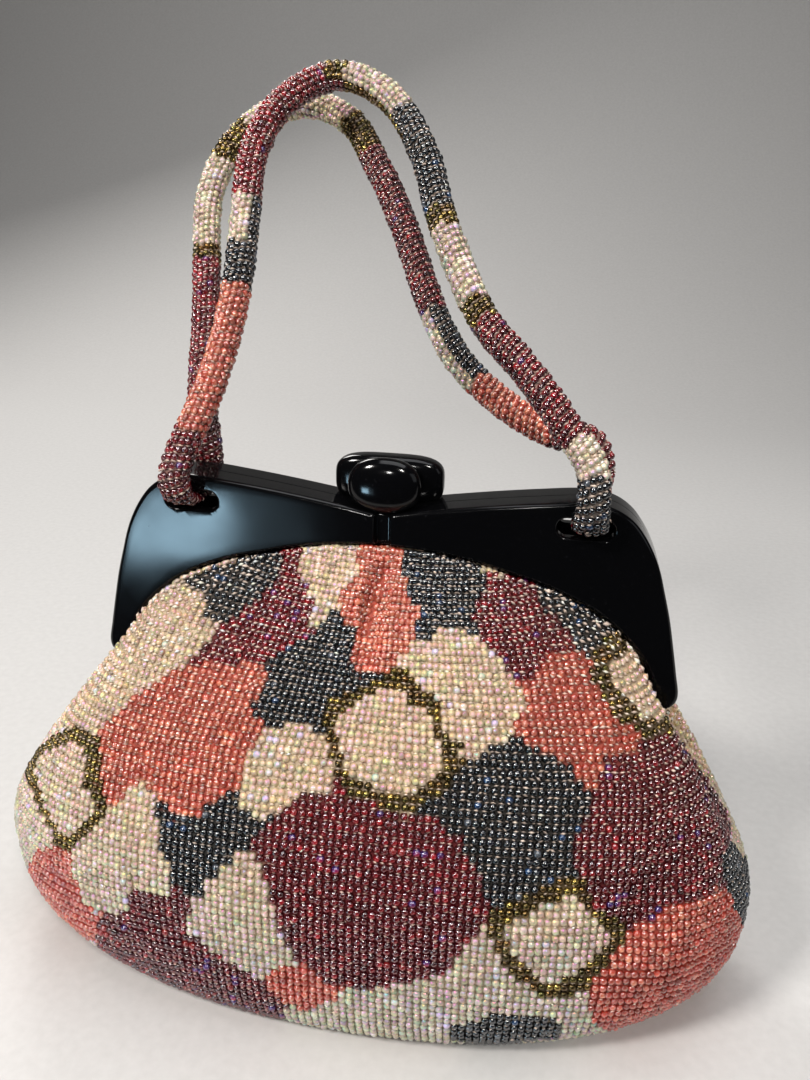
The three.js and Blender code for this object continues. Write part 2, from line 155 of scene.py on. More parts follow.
def noise_on_object(tree, scale, detail):
    """Fractal noise over the piece's own metres."""
    coordinates = tree.nodes.new("ShaderNodeTexCoord")
    node = tree.nodes.new("ShaderNodeTexNoise")
    node.inputs["Scale"].default_value = scale
    node.inputs["Detail"].default_value = detail
    tree.links.new(coordinates.outputs["Object"], node.inputs["Vector"])
    return node.outputs["Fac"]


def add_bump(tree, shader, height, distance, strength):
    """Relief of the surface from a height value."""
    node = tree.nodes.new("ShaderNodeBump")
    node.inputs["Distance"].default_value = distance
    node.inputs["Strength"].default_value = strength
    tree.links.new(height, node.inputs["Height"])
    tree.links.new(node.outputs["Normal"], shader.inputs["Normal"])


def moulded_black(name, waviness):
    """Polished black plastic: dust lightens it in specks, rubbing dulls it in clouds, moulding leaves
    waves."""
    material, tree, shader = new_material(name)
    shader.inputs["IOR"].default_value = 1.42
    dust = ramp_between(tree, noise_on_object(tree, 900.0, 4.0), 0.62, 0.8, FRAME_BLACK, FRAME_DUST)
    tree.links.new(dust, shader.inputs["Base Color"])
    rubbing = range_between(tree, noise_on_object(tree, 60.0, 5.0), 0.06, 0.2)
    tree.links.new(rubbing, shader.inputs["Roughness"])
    add_bump(tree, shader, noise_on_object(tree, 28.0, 1.0), waviness, 0.5)
    return material


def smooth_line(points, count):
    """Points at even distances along a Catmull-Rom curve whose knots are spaced by the square roots of the
    distances between its points, so that it neither loops nor overshoots at short steps."""
    padded = np.concatenate([[2 * points[0] - points[1]], points, [2 * points[-1] - points[-2]]])
    gaps = np.linalg.norm(np.diff(padded, axis=0), axis=1)[:, None] ** 0.5
    before, here, after = gaps[:-2], gaps[1:-1], gaps[2:]
    p0, p1, p2, p3 = padded[:-3], padded[1:-2], padded[2:-1], padded[3:]
    leave = ((p1 - p0) / before - (p2 - p0) / (before + here) + (p2 - p1) / here) * here
    arrive = ((p2 - p1) / here - (p3 - p1) / (here + after) + (p3 - p2) / after) * here
    t = np.linspace(0, 1, CURVE_STEPS, endpoint=False)[None, :, None]
    p1, p2, leave, arrive = (a[:, None] for a in (p1, p2, leave, arrive))
    cubic = (2 * p1 - 2 * p2 + leave + arrive) * t ** 3 + (3 * p2 - 3 * p1 - 2 * leave - arrive) * t ** 2
    curve = np.concatenate([(cubic + leave * t + p1).reshape(-1, points.shape[1]), points[-1:]])
    along = np.concatenate([[0], np.cumsum(np.linalg.norm(np.diff(curve, axis=0), axis=1))])
    even = np.linspace(0, along[-1], count)
    return np.stack([np.interp(even, along, column) for column in curve.T], axis=1)


def outward(points, faces):
    """The triangles of a closed mesh, turned to face outwards: the volume that they enclose is positive."""
    first, second, third = (points[faces[:, k]] for k in range(3))
    volume = (first * np.cross(second, third)).sum()
    return faces if volume > 0 else faces[:, ::-1]


def joined_rings(rings):
    """Triangles of a closed body from rings of equally many points: each ring is joined to the next, and
    the first and last are closed by fans about their middles."""
    count, sides = rings.shape[:2]
    points = np.concatenate([rings.reshape(-1, 3), [rings[0].mean(axis=0), rings[-1].mean(axis=0)]])
    here = np.arange(sides)
    after = (here + 1) % sides
    rows = sides * np.arange(count - 1)[:, None]
    end = sides * (count - 1)
    faces = np.concatenate([
        np.stack([rows + here, rows + after, rows + sides + after], -1).reshape(-1, 3),
        np.stack([rows + here, rows + sides + after, rows + sides + here], -1).reshape(-1, 3),
        np.stack([after, here, here * 0 + count * sides], -1),
        np.stack([end + here, end + after, here * 0 + count * sides + 1], -1),
    ])
    return points, outward(points, faces)


def new_mesh(name, points, faces):
    """A smooth-shaded mesh object at the origin from arrays of points in millimetres and triangles."""
    mesh = bpy.data.meshes.new(name)
    mesh.vertices.add(len(points))
    mesh.vertices.foreach_set("co", np.ascontiguousarray(points * MM, np.float32).ravel())
    mesh.loops.add(faces.size)
    mesh.loops.foreach_set("vertex_index", np.ascontiguousarray(faces, np.int32).ravel())
    mesh.polygons.add(len(faces))
    mesh.polygons.foreach_set("loop_start", np.arange(0, faces.size, 3, dtype=np.int32))
    mesh.polygons.foreach_set("use_smooth", np.ones(len(faces), bool))
    mesh.update(calc_edges=True)
    mesh.validate()
    piece = bpy.data.objects.new(name, mesh)
    bpy.context.scene.collection.objects.link(piece)
    return piece


def stands_for(piece, material, node):
    """Gives a piece its material and slot, and puts it on the bag in the place of a modelled solid."""
    piece.data.materials.append(material)
    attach(piece, "root")
    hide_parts(node)
    return piece


def frame_face(grooved):
    """Rings of the half in front: a closed L-shaped profile carried along the frame from leg tip to leg
    tip. At each station the profile's breadth runs from the outer edge to the arch, whose stations lie
    straight below in the middle; its corners are quarter circles, and both shrink with the breadth
    towards the tips."""
    outer, arch = smooth_line(OUTER_EDGE, EDGE_STEPS), smooth_line(ARCH_EDGE, EDGE_STEPS)
    outer_length, arch_length = (np.linalg.norm(np.diff(a, axis=0), axis=1).sum() for a in (outer, arch))
    wall = (GROOVE_WIDTH + GROOVE_WALL * np.linspace(-1, 1, 9)) / 2 / outer_length
    share = np.union1d(np.linspace(0, TIP_SHARE, FRAME_STATIONS), wall)
    arch_share = share * (1 + (outer_length / arch_length - 1) * np.exp(-share / STATION_BLEND))
    even = np.linspace(0, 1, EDGE_STEPS)
    lines = []
    for line, at in ((outer, share), (arch, arch_share)):
        right = np.stack([np.interp(at, even, column) for column in line.T], axis=1)
        lines.append(np.concatenate([right[:0:-1] * [-1, 1], right]))
    breadth = lines[1] - lines[0]
    width = np.linalg.norm(breadth, axis=1, keepdims=True)
    corner = np.minimum(EDGE_ROUND, CORNER_SHARE * width)
    rim = np.minimum(PLATE, RIM_SHARE * width)
    quarter = np.linspace(0, np.pi / 2, 7)
    flat = np.linspace(0, 1, 9)[1:-1]
    ends = 0 * width
    across = np.concatenate([
        ends, corner * (1 - np.cos(quarter)), corner + (width - 2 * corner) * flat,
        width - corner * (1 - np.sin(quarter)), width, rim, rim,
    ], axis=1)
    back = np.concatenate([
        ends + FRAME_DEPTH / 2 - HALF_GAP / 2, corner * (1 - np.sin(quarter)), 0 * width * flat,
        corner * (1 - np.cos(quarter)), ends + PLATE, ends + PLATE, ends + FRAME_DEPTH / 2 - HALF_GAP / 2,
    ], axis=1)
    if grooved:
        within = np.clip((GROOVE_WIDTH / 2 - np.abs(lines[0][:, :1])) / GROOVE_WALL + 0.5, 0, 1)
        sunk = GROOVE_DEPTH * within * within * (3 - 2 * within)
        back = back + sunk * np.clip(1 - back / PLATE, 0, 1)
    place = lines[0][:, None] + (breadth / width)[:, None] * across[..., None]
    return np.stack([place[..., 0], back - FRAME_DEPTH / 2, place[..., 1] + SLOT_HEIGHT], axis=-1)


def slot_cutter():
    """Two bodies to cut the handle slots with: a straight oval carried through the face, opening at the
    front by a quarter circle that rounds the slot's lip."""
    turn = np.linspace(0, 2 * np.pi, 48, endpoint=False)
    quarter = np.linspace(0, np.pi / 2, 6)
    grow = np.concatenate([[SLOT_ROUND], SLOT_ROUND * (1 - np.sin(quarter)), [0]])[:, None]
    depth = np.concatenate([[-1], SLOT_ROUND * (1 - np.cos(quarter)), [PLATE + 1]])[:, None] - FRAME_DEPTH / 2
    radius = SLOT_OPEN / 2 + grow
    x = radius * np.cos(turn) + np.sign(np.cos(turn)) * (SLOT_LENGTH - SLOT_OPEN) / 2
    z = radius * np.sin(turn) + SLOT_HEIGHT
    bodies = []
    for side in (-1, 1):
        bodies.append(joined_rings(np.stack(np.broadcast_arrays(x + side * SLOT_X, depth, z), axis=-1)))
    points = np.concatenate([body[0] for body in bodies])
    return points, np.concatenate([bodies[0][1], bodies[1][1] + len(bodies[0][0])])


def cut_away(piece, cutter):
    """Takes the cutter's bodies out of a piece, and keeps its creases crisp and its flats even."""
    change = piece.modifiers.new("cut", "BOOLEAN")
    change.operation = "DIFFERENCE"
    change.object = cutter
    changed = piece.evaluated_get(bpy.context.evaluated_depsgraph_get())
    mesh = bpy.data.meshes.new_from_object(changed)
    piece.modifiers.clear()
    piece.data = mesh
    mesh.set_sharp_from_angle(angle=CREASE)
    piece.modifiers.new("flats", "WEIGHTED_NORMAL").keep_sharp = True
    bpy.data.objects.remove(cutter)


def knuckle(low, high):
    """A turned barrel about the hinge's axis from one x to another, its ends rounded off."""
    turn = np.linspace(0, 2 * np.pi, 32, endpoint=False)
    quarter = np.linspace(0, np.pi / 2, 4)
    step = KNUCKLE_ROUND * (1 - np.cos(quarter))
    radius = KNUCKLE_RADIUS - KNUCKLE_ROUND * (1 - np.sin(quarter))
    x = np.concatenate([low + step, high - step[::-1]])[:, None]
    radius = np.concatenate([radius, radius[::-1]])[:, None]
    ring = np.broadcast_arrays(x, radius * np.cos(turn), radius * np.sin(turn) + HINGE_Z)
    return joined_rings(np.stack(ring, axis=-1))


frame_plastic = moulded_black("frame_plastic", 1.2 * MM)
inner_knuckle = (HINGE_X - PLAY / 2 - KNUCKLE_WIDTH, HINGE_X - PLAY / 2)
outer_knuckle = (HINGE_X + PLAY / 2, HINGE_X + PLAY / 2 + KNUCKLE_WIDTH)
for half, facing, (low, high) in (("front", 1, inner_knuckle), ("back", -1, outer_knuckle)):
    points, faces = joined_rings(frame_face(half == "front"))
    turned = np.array([facing, facing, 1])
    shell = new_mesh(half + "_shell", points * turned, faces)
    cutter_points, cutter_faces = slot_cutter()
    cut_away(shell, new_mesh("slots", cutter_points * turned, cutter_faces))
    stands_for(shell, frame_plastic, half + "_frame")
    for side, (first, second) in (("left", (-high, -low)), ("right", (low, high))):
        points, faces = knuckle(first, second)
        barrel = new_mesh(f"{half}_knuckle_{side}", points, faces)
        stands_for(barrel, frame_plastic, half + "_frame")


# Hinge pins: plain steel rivets through the knuckles at the leg ends.
# Drawn wire, with a fine grain in its colour and roughness.
STEEL_LIGHT = (0.5, 0.5, 0.51, 1.0)
STEEL_DARK = (0.3, 0.3, 0.31, 1.0)
hinge_steel, steel_tree, steel_shader = new_material("hinge_steel")
steel_shader.inputs["Metallic"].default_value = 1.0
steel_grain = noise_on_object(steel_tree, 1500.0, 3.0)
steel_colour = ramp_between(steel_tree, steel_grain, 0.35, 0.65, STEEL_DARK, STEEL_LIGHT)
steel_tree.links.new(steel_colour, steel_shader.inputs["Base Color"])
steel_tree.links.new(range_between(steel_tree, steel_grain, 0.25, 0.45), steel_shader.inputs["Roughness"])
for pin in ("hinge_pin_left", "hinge_pin_right"):
    pin_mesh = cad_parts[pin].data
    pin_mesh.materials.clear()
    pin_mesh.materials.append(hinge_steel)


# Clasp: two hollow-moulded lobes that snap past each other, a dome in front and a wider, squarer one behind.
# The same black plastic, polished by fingers; each lobe sits in the dip of its half's top edge.
DIP_HEIGHT = -0.7
DIP_RISE = 0.2
CLASP_PLAY = 0.3
FRONT_LOBE = {"y": -4.5, "z": 7.6, "half": (10.7, 4.35, 8.3), "power": 2.3}
BACK_LOBE = {"y": 4.5, "z": 7.0, "half": (16.2, 4.35, 7.4), "power": 3.6}
LOBE_AROUND = 72
LOBE_ROWS = 36


def clasp_lobe(lobe):
    """Rings of a ball whose x, y and z follow |x|^p + |y|^p + |z|^p = 1, stretched to the lobe's half
    sizes; what would lie below the frame's dipping top edge is pressed up onto it."""
    around = np.linspace(0, 2 * np.pi, LOBE_AROUND, endpoint=False)
    tilt = np.linspace(0, np.pi, LOBE_ROWS + 2)[1:-1, None]
    ring = (np.sin(tilt) * np.cos(around), np.cos(tilt), np.sin(tilt) * np.sin(around))
    ball = np.stack(np.broadcast_arrays(*ring), axis=-1)
    power = lobe["power"]
    ball /= (np.abs(ball) ** power).sum(axis=-1, keepdims=True) ** (1 / power)
    points = ball * lobe["half"] + [0, lobe["y"], lobe["z"] + SLOT_HEIGHT]
    floor = SLOT_HEIGHT + DIP_HEIGHT + DIP_RISE * np.abs(points[..., 0]) + CLASP_PLAY
    points[..., 2] = np.maximum(points[..., 2], floor)
    return points


clasp_plastic = moulded_black("clasp_plastic", 0.15 * MM)
for piece_name, node_name, lobe_sizes in (
    ("clasp_dome", "clasp_front_lobe", FRONT_LOBE),
    ("clasp_catch", "clasp_back_lobe", BACK_LOBE),
):
    lobe = new_mesh(piece_name, *joined_rings(clasp_lobe(lobe_sizes)))
    lobe.data.set_sharp_from_angle(angle=CREASE)
    stands_for(lobe, clasp_plastic, node_name)


# Pouch ground: the knitted yarn bag under the beads, pale cotton, gathered into the arch of both halves.
# It hangs full and forward to a belly, then turns under to a flattened bottom; the front has a crease under
# the middle of the arch and a few soft folds.
# Right half of the line where the cloth meets the frame: x and height from the slot
BEAD_LINE = np.array([
    (0.0, -10.0), (12.5, -10.6), (24.6, -12.3), (37.0, -15.4), (46.5, -18.0), (56.0, -21.8), (63.4, -25.8),
    (70.0, -31.0), (76.0, -37.5), (77.6, -43.0), (77.8, -49.5), (79.2, -55.0), (82.2, -58.2), (86.5, -59.4),
])
RIM_UNDER = {"reach": -0.6, "y": 4.4, "turn": 9.0}
RIM_OUT = {"reach": 0.2, "y": 8.6, "turn": 14.0}
TUCK_START = 21.0
TUCK_LENGTH = 12.0
BELLY_RIGHT = 117.5
BELLY_LEFT = 124.0
BELLY_FRONT = 55.0
BELLY_BACK = 46.0
BELLY_SHIFT = -9.0
BELLY_SIDE_Z = 35.5
BELLY_FRONT_Z = 43.0
BELLY_POWER = 2.25
UPPER_SWELL = 0.35
BELLY_SWELL = 0.75
LOWER_POWER = 2.7
BASE_X = 70.0
BASE_Y = 41.0
FOLD_START = 0.1
FOLDS = (
    {"x": 0, "z": 127, "lean": 0.15, "half_width": 3, "half_height": 15, "depth": 4.8},
    {"x": 19, "z": 125, "lean": -0.4, "half_width": 8, "half_height": 14, "depth": -1.6},
    {"x": -38, "z": 116, "lean": 0.4, "half_width": 10, "half_height": 14, "depth": 1.6},
    {"x": 83, "z": 58, "lean": 0.55, "half_width": 9, "half_height": 18, "depth": 2.6},
    {"x": 89, "z": 37, "lean": 0, "half_width": 15, "half_height": 13, "depth": -2.4},
)
GROUND_DEPTH = 1.2
WALL_DEPTH = 2.15
ARCH_STEPS = 121
GROUND_AROUND = 260
GROUND_ROWS = 140
GROUND_END = 2.9
YARN_COLOUR = np.array([0.95, 0.77, 0.66])
# Painted shade between the yarn's fibres
FIBRE_SHADE = (0.78, 0.76, 0.74, 1.0)
WHITE = (1.0, 1.0, 1.0, 1.0)

arch_half = smooth_line(BEAD_LINE + [0, SLOT_HEIGHT], ARCH_STEPS)
arch_line = np.concatenate([arch_half[::-1], arch_half[1:] * [-1, 1]])
arch_along = np.concatenate([[0], np.cumsum(np.linalg.norm(np.diff(arch_line, axis=0), axis=1))])
arch_slope = np.gradient(arch_line, arch_along, axis=0)


def rim_point(turn, ring):
    """A ring of the cloth at the frame: turn goes round the bag from its right side over the front, and
    runs along the arch there and back; the ring stands off the arch by its reach, at its y, and rounds to
    the sides."""
    front = turn <= np.pi
    want = np.where(front, turn, 2 * np.pi - turn) / np.pi * arch_along[-1]
    x, z = (np.interp(want, arch_along, column) for column in arch_line.T)
    slope_x, slope_z = (np.interp(want, arch_along, column) for column in arch_slope.T)
    from_side = np.minimum(want, arch_along[-1] - want)
    y = ring["y"] * np.sqrt(1 - (1 - np.minimum(1, from_side / ring["turn"])) ** 2)
    tuck = np.clip((from_side - TUCK_START) / TUCK_LENGTH, 0, 1)
    reach = ring["reach"] * (0.5 + 0.5 * tuck)
    return np.stack([x + reach * slope_z, np.where(front, -y, y), z - reach * slope_x], axis=-1)


def rounded(value, power):
    """Value's sign times its size to the power 2 / p, which squares off a circle's sine or cosine."""
    return np.sign(value) * np.abs(value) ** (2 / power)


def fold_depth(points):
    """Sum of the folds at each point: a bell over the height and one across it, leaning with height."""
    total = np.zeros(points.shape[:-1])
    for fold in FOLDS:
        rise = points[..., 2] - fold["z"]
        across = (points[..., 0] - fold["x"] - fold["lean"] * rise) / fold["half_width"]
        total += fold["depth"] * np.exp(-across ** 2 - (rise / fold["half_height"]) ** 2)
    return total


def pouch_point(turn, down):
    """Outer face of the pouch in millimetres. down is -1 under the arch's edge, 0 clear of it, 1 on the
    belly's widest line, 2 at the edge of the bottom and 3 in its middle. Above the belly the cloth goes
    outwards faster than down; below it a squared quarter turn leads under; the front's folds are pushed
    in along y."""
    turn, down = np.broadcast_arrays(turn, down)
    under, start = rim_point(turn, RIM_UNDER), rim_point(turn, RIM_OUT)
    cosine, sine = np.cos(turn), np.sin(turn)
    belly_x = np.where(cosine > 0, BELLY_RIGHT, BELLY_LEFT) * rounded(cosine, BELLY_POWER)
    belly_y = BELLY_SHIFT - np.where(sine > 0, BELLY_FRONT, BELLY_BACK) * rounded(sine, BELLY_POWER)
    belly_z = BELLY_SIDE_Z + (BELLY_FRONT_Z - BELLY_SIDE_Z) * sine ** 2
    belly = np.stack([belly_x, belly_y, belly_z], axis=-1)
    base_x, base_y = BASE_X * rounded(cosine, BELLY_POWER), -BASE_Y * rounded(sine, BELLY_POWER)
    base = np.stack([base_x, base_y, 0 * sine], axis=-1)
    middle = np.array([0.0, BELLY_SHIFT, 0.0])

    fall = np.clip(down, 0, 1)[..., None]
    spread = fall + (UPPER_SWELL + BELLY_SWELL * fall) * fall * (1 - fall)
    upper = start + (belly - start) * np.concatenate([spread, spread, fall], axis=-1)
    tucked = start + (under - start) * np.clip(-down, 0, 1)[..., None]
    quarter = np.clip(down - 1, 0, 1)[..., None] * np.pi / 2
    inward = np.maximum(0, np.cos(quarter)) ** (2 / LOWER_POWER)
    sink = np.sin(quarter) ** (2 / LOWER_POWER)
    lower = (middle + base) * (1 - inward) + belly * inward
    lower[..., 2] = belly_z * (1 - sink[..., 0])
    bottom = middle + base * np.clip(3 - down, 0, 1)[..., None]
    place = [(down < 0)[..., None], (down <= 1)[..., None], (down <= 2)[..., None]]
    points = np.select(place, [tucked, upper, lower], bottom)
    fade = np.minimum(1, np.clip(down, 0, 1) / FOLD_START) * np.where(down > 1, 1 - sink[..., 0], 1)
    points[..., 1] += np.where((turn > 0) & (turn < np.pi), fold_depth(points) * fade, 0)
    return points


def pouch_frame(turn, down):
    """Point, outward normal and sideways direction of the pouch's face, from small steps along both
    parameters."""
    step = 1e-3
    here = pouch_point(turn, down)
    before, after = np.mod(turn - step, 2 * np.pi), np.mod(turn + step, 2 * np.pi)
    sideways = pouch_point(after, down) - pouch_point(before, down)
    lengthways = pouch_point(turn, down + step) - pouch_point(turn, down - step)
    normal = np.cross(sideways, lengthways)
    normal /= np.linalg.norm(normal, axis=-1, keepdims=True)
    sideways /= np.linalg.norm(sideways, axis=-1, keepdims=True)
    return here, normal, sideways


def shaded_tint(tree, attribute, shade):
    """The colour kept with the mesh's points, darkened by a shade from noise."""
    tint = tree.nodes.new("ShaderNodeAttribute")
    tint.attribute_name = attribute
    mix = tree.nodes.new("ShaderNodeMix")
    mix.data_type = "RGBA"
    mix.blend_type = "MULTIPLY"
    mix.inputs[0].default_value = 1.0
    tree.links.new(tint.outputs["Color"], mix.inputs[6])
    tree.links.new(shade, mix.inputs[7])
    return mix.outputs[2]


def paint(piece, attribute, colours):
    """A colour for each point of a piece, kept with its mesh."""
    layer = piece.data.attributes.new(attribute, "FLOAT_COLOR", "POINT")
    rgba = np.concatenate([np.clip(colours, 0, 1), np.ones((len(colours), 1))], axis=1)
    layer.data.foreach_set("color", rgba.astype(np.float32).ravel())


def yarn(name):
    """Soft cotton: its pale colour, painted with the shade and coloured light of the glass over it, has
    painted shade between the fibres, which raise the surface and dull it."""
    material, tree, shader = new_material(name)
    fibre = noise_on_object(tree, 1400.0, 4.0)
    shade = ramp_between(tree, fibre, 0.3, 0.7, FIBRE_SHADE, WHITE)
    tree.links.new(shaded_tint(tree, "yarn_tint", shade), shader.inputs["Base Color"])
    tree.links.new(range_between(tree, fibre, 0.7, 0.95), shader.inputs["Roughness"])
    shader.inputs["Sheen Weight"].default_value = 0.06
    add_bump(tree, shader, fibre, 0.3 * MM, 0.6)
    return material


def pouch_ground():
    """Closed shell of the cloth: its outer face a little under the bead tops, its inner face a wall inside,
    joined at the rim under the arch and closed in the middle of the bottom."""
    turn = np.linspace(0, 2 * np.pi, GROUND_AROUND, endpoint=False)
    down = np.linspace(-1, GROUND_END, GROUND_ROWS)[:, None]
    face, normal, _ = pouch_frame(turn, down)
    outer, inner = face - normal * GROUND_DEPTH, face - normal * WALL_DEPTH
    middle = np.array([[0, BELLY_SHIFT, GROUND_DEPTH], [0, BELLY_SHIFT, WALL_DEPTH]])
    points = np.concatenate([outer.reshape(-1, 3), inner.reshape(-1, 3), middle])
    first = np.arange(GROUND_AROUND)
    after = (first + 1) % GROUND_AROUND
    rows = GROUND_AROUND * np.arange(GROUND_ROWS - 1)[:, None]
    below = rows + GROUND_AROUND
    quads = np.stack([rows + first, rows + after, below + after, below + first], -1).reshape(-1, 4)
    layer = GROUND_AROUND * GROUND_ROWS
    rim = np.stack([after, first, layer + first, layer + after], -1)
    end = layer - GROUND_AROUND
    caps = np.concatenate([
        np.stack([end + first, end + after, first * 0 + 2 * layer], -1),
        np.stack([layer + end + after, layer + end + first, first * 0 + 2 * layer + 1], -1),
    ])
    walls = np.concatenate([quads, quads[:, ::-1] + layer, rim])
    faces = np.concatenate([walls[:, [0, 1, 2]], walls[:, [0, 2, 3]], caps])
    places = np.stack(np.broadcast_arrays(turn, down), axis=-1).reshape(-1, 2)
    return points, faces, np.concatenate([places, places, [[0, 3], [0, 3]]])


knit_yarn = yarn("knit_yarn")
ground_points, ground_faces, ground_places = pouch_ground()
pouch_knit = new_mesh("pouch_knit", ground_points, ground_faces)
stands_for(pouch_knit, knit_yarn, "pouch")


# Pouch beads: small round glass beads knitted in, one to a stitch, in rows and columns that the frame gathers
# towards its middle; stitches of the yarn show between the rows, most where the cloth is stretched. Colours
# follow the knitter's chart: cream between patches of coral, garnet and navy, and bronze rings.
ROW_PITCH = 2.33
COLUMN_PITCH = 2.15
LOWER_ROWS = 21
GATHER_END = 0.5
GATHER_MIDDLE = 5.0
GATHER_WIDTH = 38.0
GATHER_DIP = 20.0
GATHER_POWER = 1.2
GATHER_LEVEL = 0.5
GATHER_LEAN = 0.24
GATHER_STRETCH = 0.05
PANEL_STEPS = 401
DOWN_STEPS = 601
SEAM_MARGIN = 0.2
BEAD_SIZE = np.array([2.55, 2.3, 2.1])
BEAD_SIZE_SPREAD = 0.04
BEAD_HUE_DRIFT = 0.3
BEAD_END = 0.82
BEAD_TIP = 0.86
BEAD_END_POWER = 2.6
BEAD_RIM_POWER = 0.8
BEAD_SEAT = 1.02
BEAD_JITTER = 0.11
BEAD_TILT = 0.22
BEAD_SIDES = 8
# Direction in each bead of its painted light on the lower side, where light would gather in the glass
PAINTED_GLOW_SIDE = np.array([-0.40, 0.75, 0.53])
BEAD_PIXELS = 7.5
# Heights over which bead tints go from painted cool light, low, to painted warm light, high
LOW_HEIGHT = 25.0
HIGH_HEIGHT = 80.0
CLOUD_SHADE = (0.75, 0.75, 0.75, 1.0)
LUSTRE_FILM = (300.0, 465.0)
STITCH_SIZE = np.array([1.5, 0.6, 0.8])
STITCH_SIZE_RANGE = (0.6, 1.2)
STITCH_SHADE = 0.3
STITCH_SEAT = 0.8
STITCH_DROP = 1.2
# Share of plain yarn in the stitches' painted shade and coloured light from the glass
STITCH_STRETCH = 0.5
STITCH_GROWTH = 0.85
STRETCH_END = 0.8
GATHER_SLACK = 0.7
STRETCH_SHRINK = 0.15
# Where the cloth is stretched, less painted light is put on the beads' lower side
STRETCH_PAINTED_GLOW_LOSS = 0.6
# Share of plain yarn in the ground's painted shade and coloured light from the glass
GROUND_STRETCH = 0.05
# Glass colours: painted warm light high on the bag and painted cool light low on it; painted light gathered
# on a bead's lower side; the spread from bead to bead; the tints and share of odd beads, painted glints in
# other tints;
# and the painted shade and coloured light that the glass throws on the yarn
BEAD_COLOURS = {
    "cream": {
        "high": (0.62, 0.485, 0.335), "low": (0.45, 0.46, 0.415), "painted_glow": (0.87, 0.75, 0.59), "spread": 0.13,
        "odd": ((0.62, 0.60, 0.80), (0.60, 0.70, 0.62)), "share": 0.04, "painted_shade_and_glass_light": (0.57, 0.455, 0.335),
    },
    "coral": {
        "high": (0.37, 0.047, 0.026), "low": (0.40, 0.055, 0.036), "painted_glow": (0.92, 0.36, 0.22), "spread": 0.14,
        "odd": ((0.58, 0.17, 0.12),), "share": 0.03, "painted_shade_and_glass_light": (0.38, 0.08, 0.055),
    },
    "garnet": {
        "high": (0.055, 0.001, 0.003), "low": (0.05, 0.0012, 0.007), "painted_glow": (0.42, 0.015, 0.022),
        "spread": 0.25, "odd": ((0.05, 0.02, 0.14), (0.22, 0.012, 0.012)), "share": 0.06,
        "painted_shade_and_glass_light": (0.13, 0.012, 0.016),
    },
    "navy": {
        "high": (0.0035, 0.0038, 0.005), "low": (0.003, 0.0042, 0.008), "painted_glow": (0.012, 0.013, 0.018),
        "spread": 0.30, "odd": ((0.02, 0.06, 0.15), (0.10, 0.11, 0.13)), "share": 0.05,
        "painted_shade_and_glass_light": (0.03, 0.027, 0.024),
    },
    "bronze": {
        "high": (0.17, 0.115, 0.035), "low": (0.15, 0.105, 0.035), "painted_glow": (0.26, 0.18, 0.06), "spread": 0.25,
        "odd": ((0.45, 0.33, 0.10),), "share": 0.10, "painted_shade_and_glass_light": (0.12, 0.085, 0.04),
    },
}
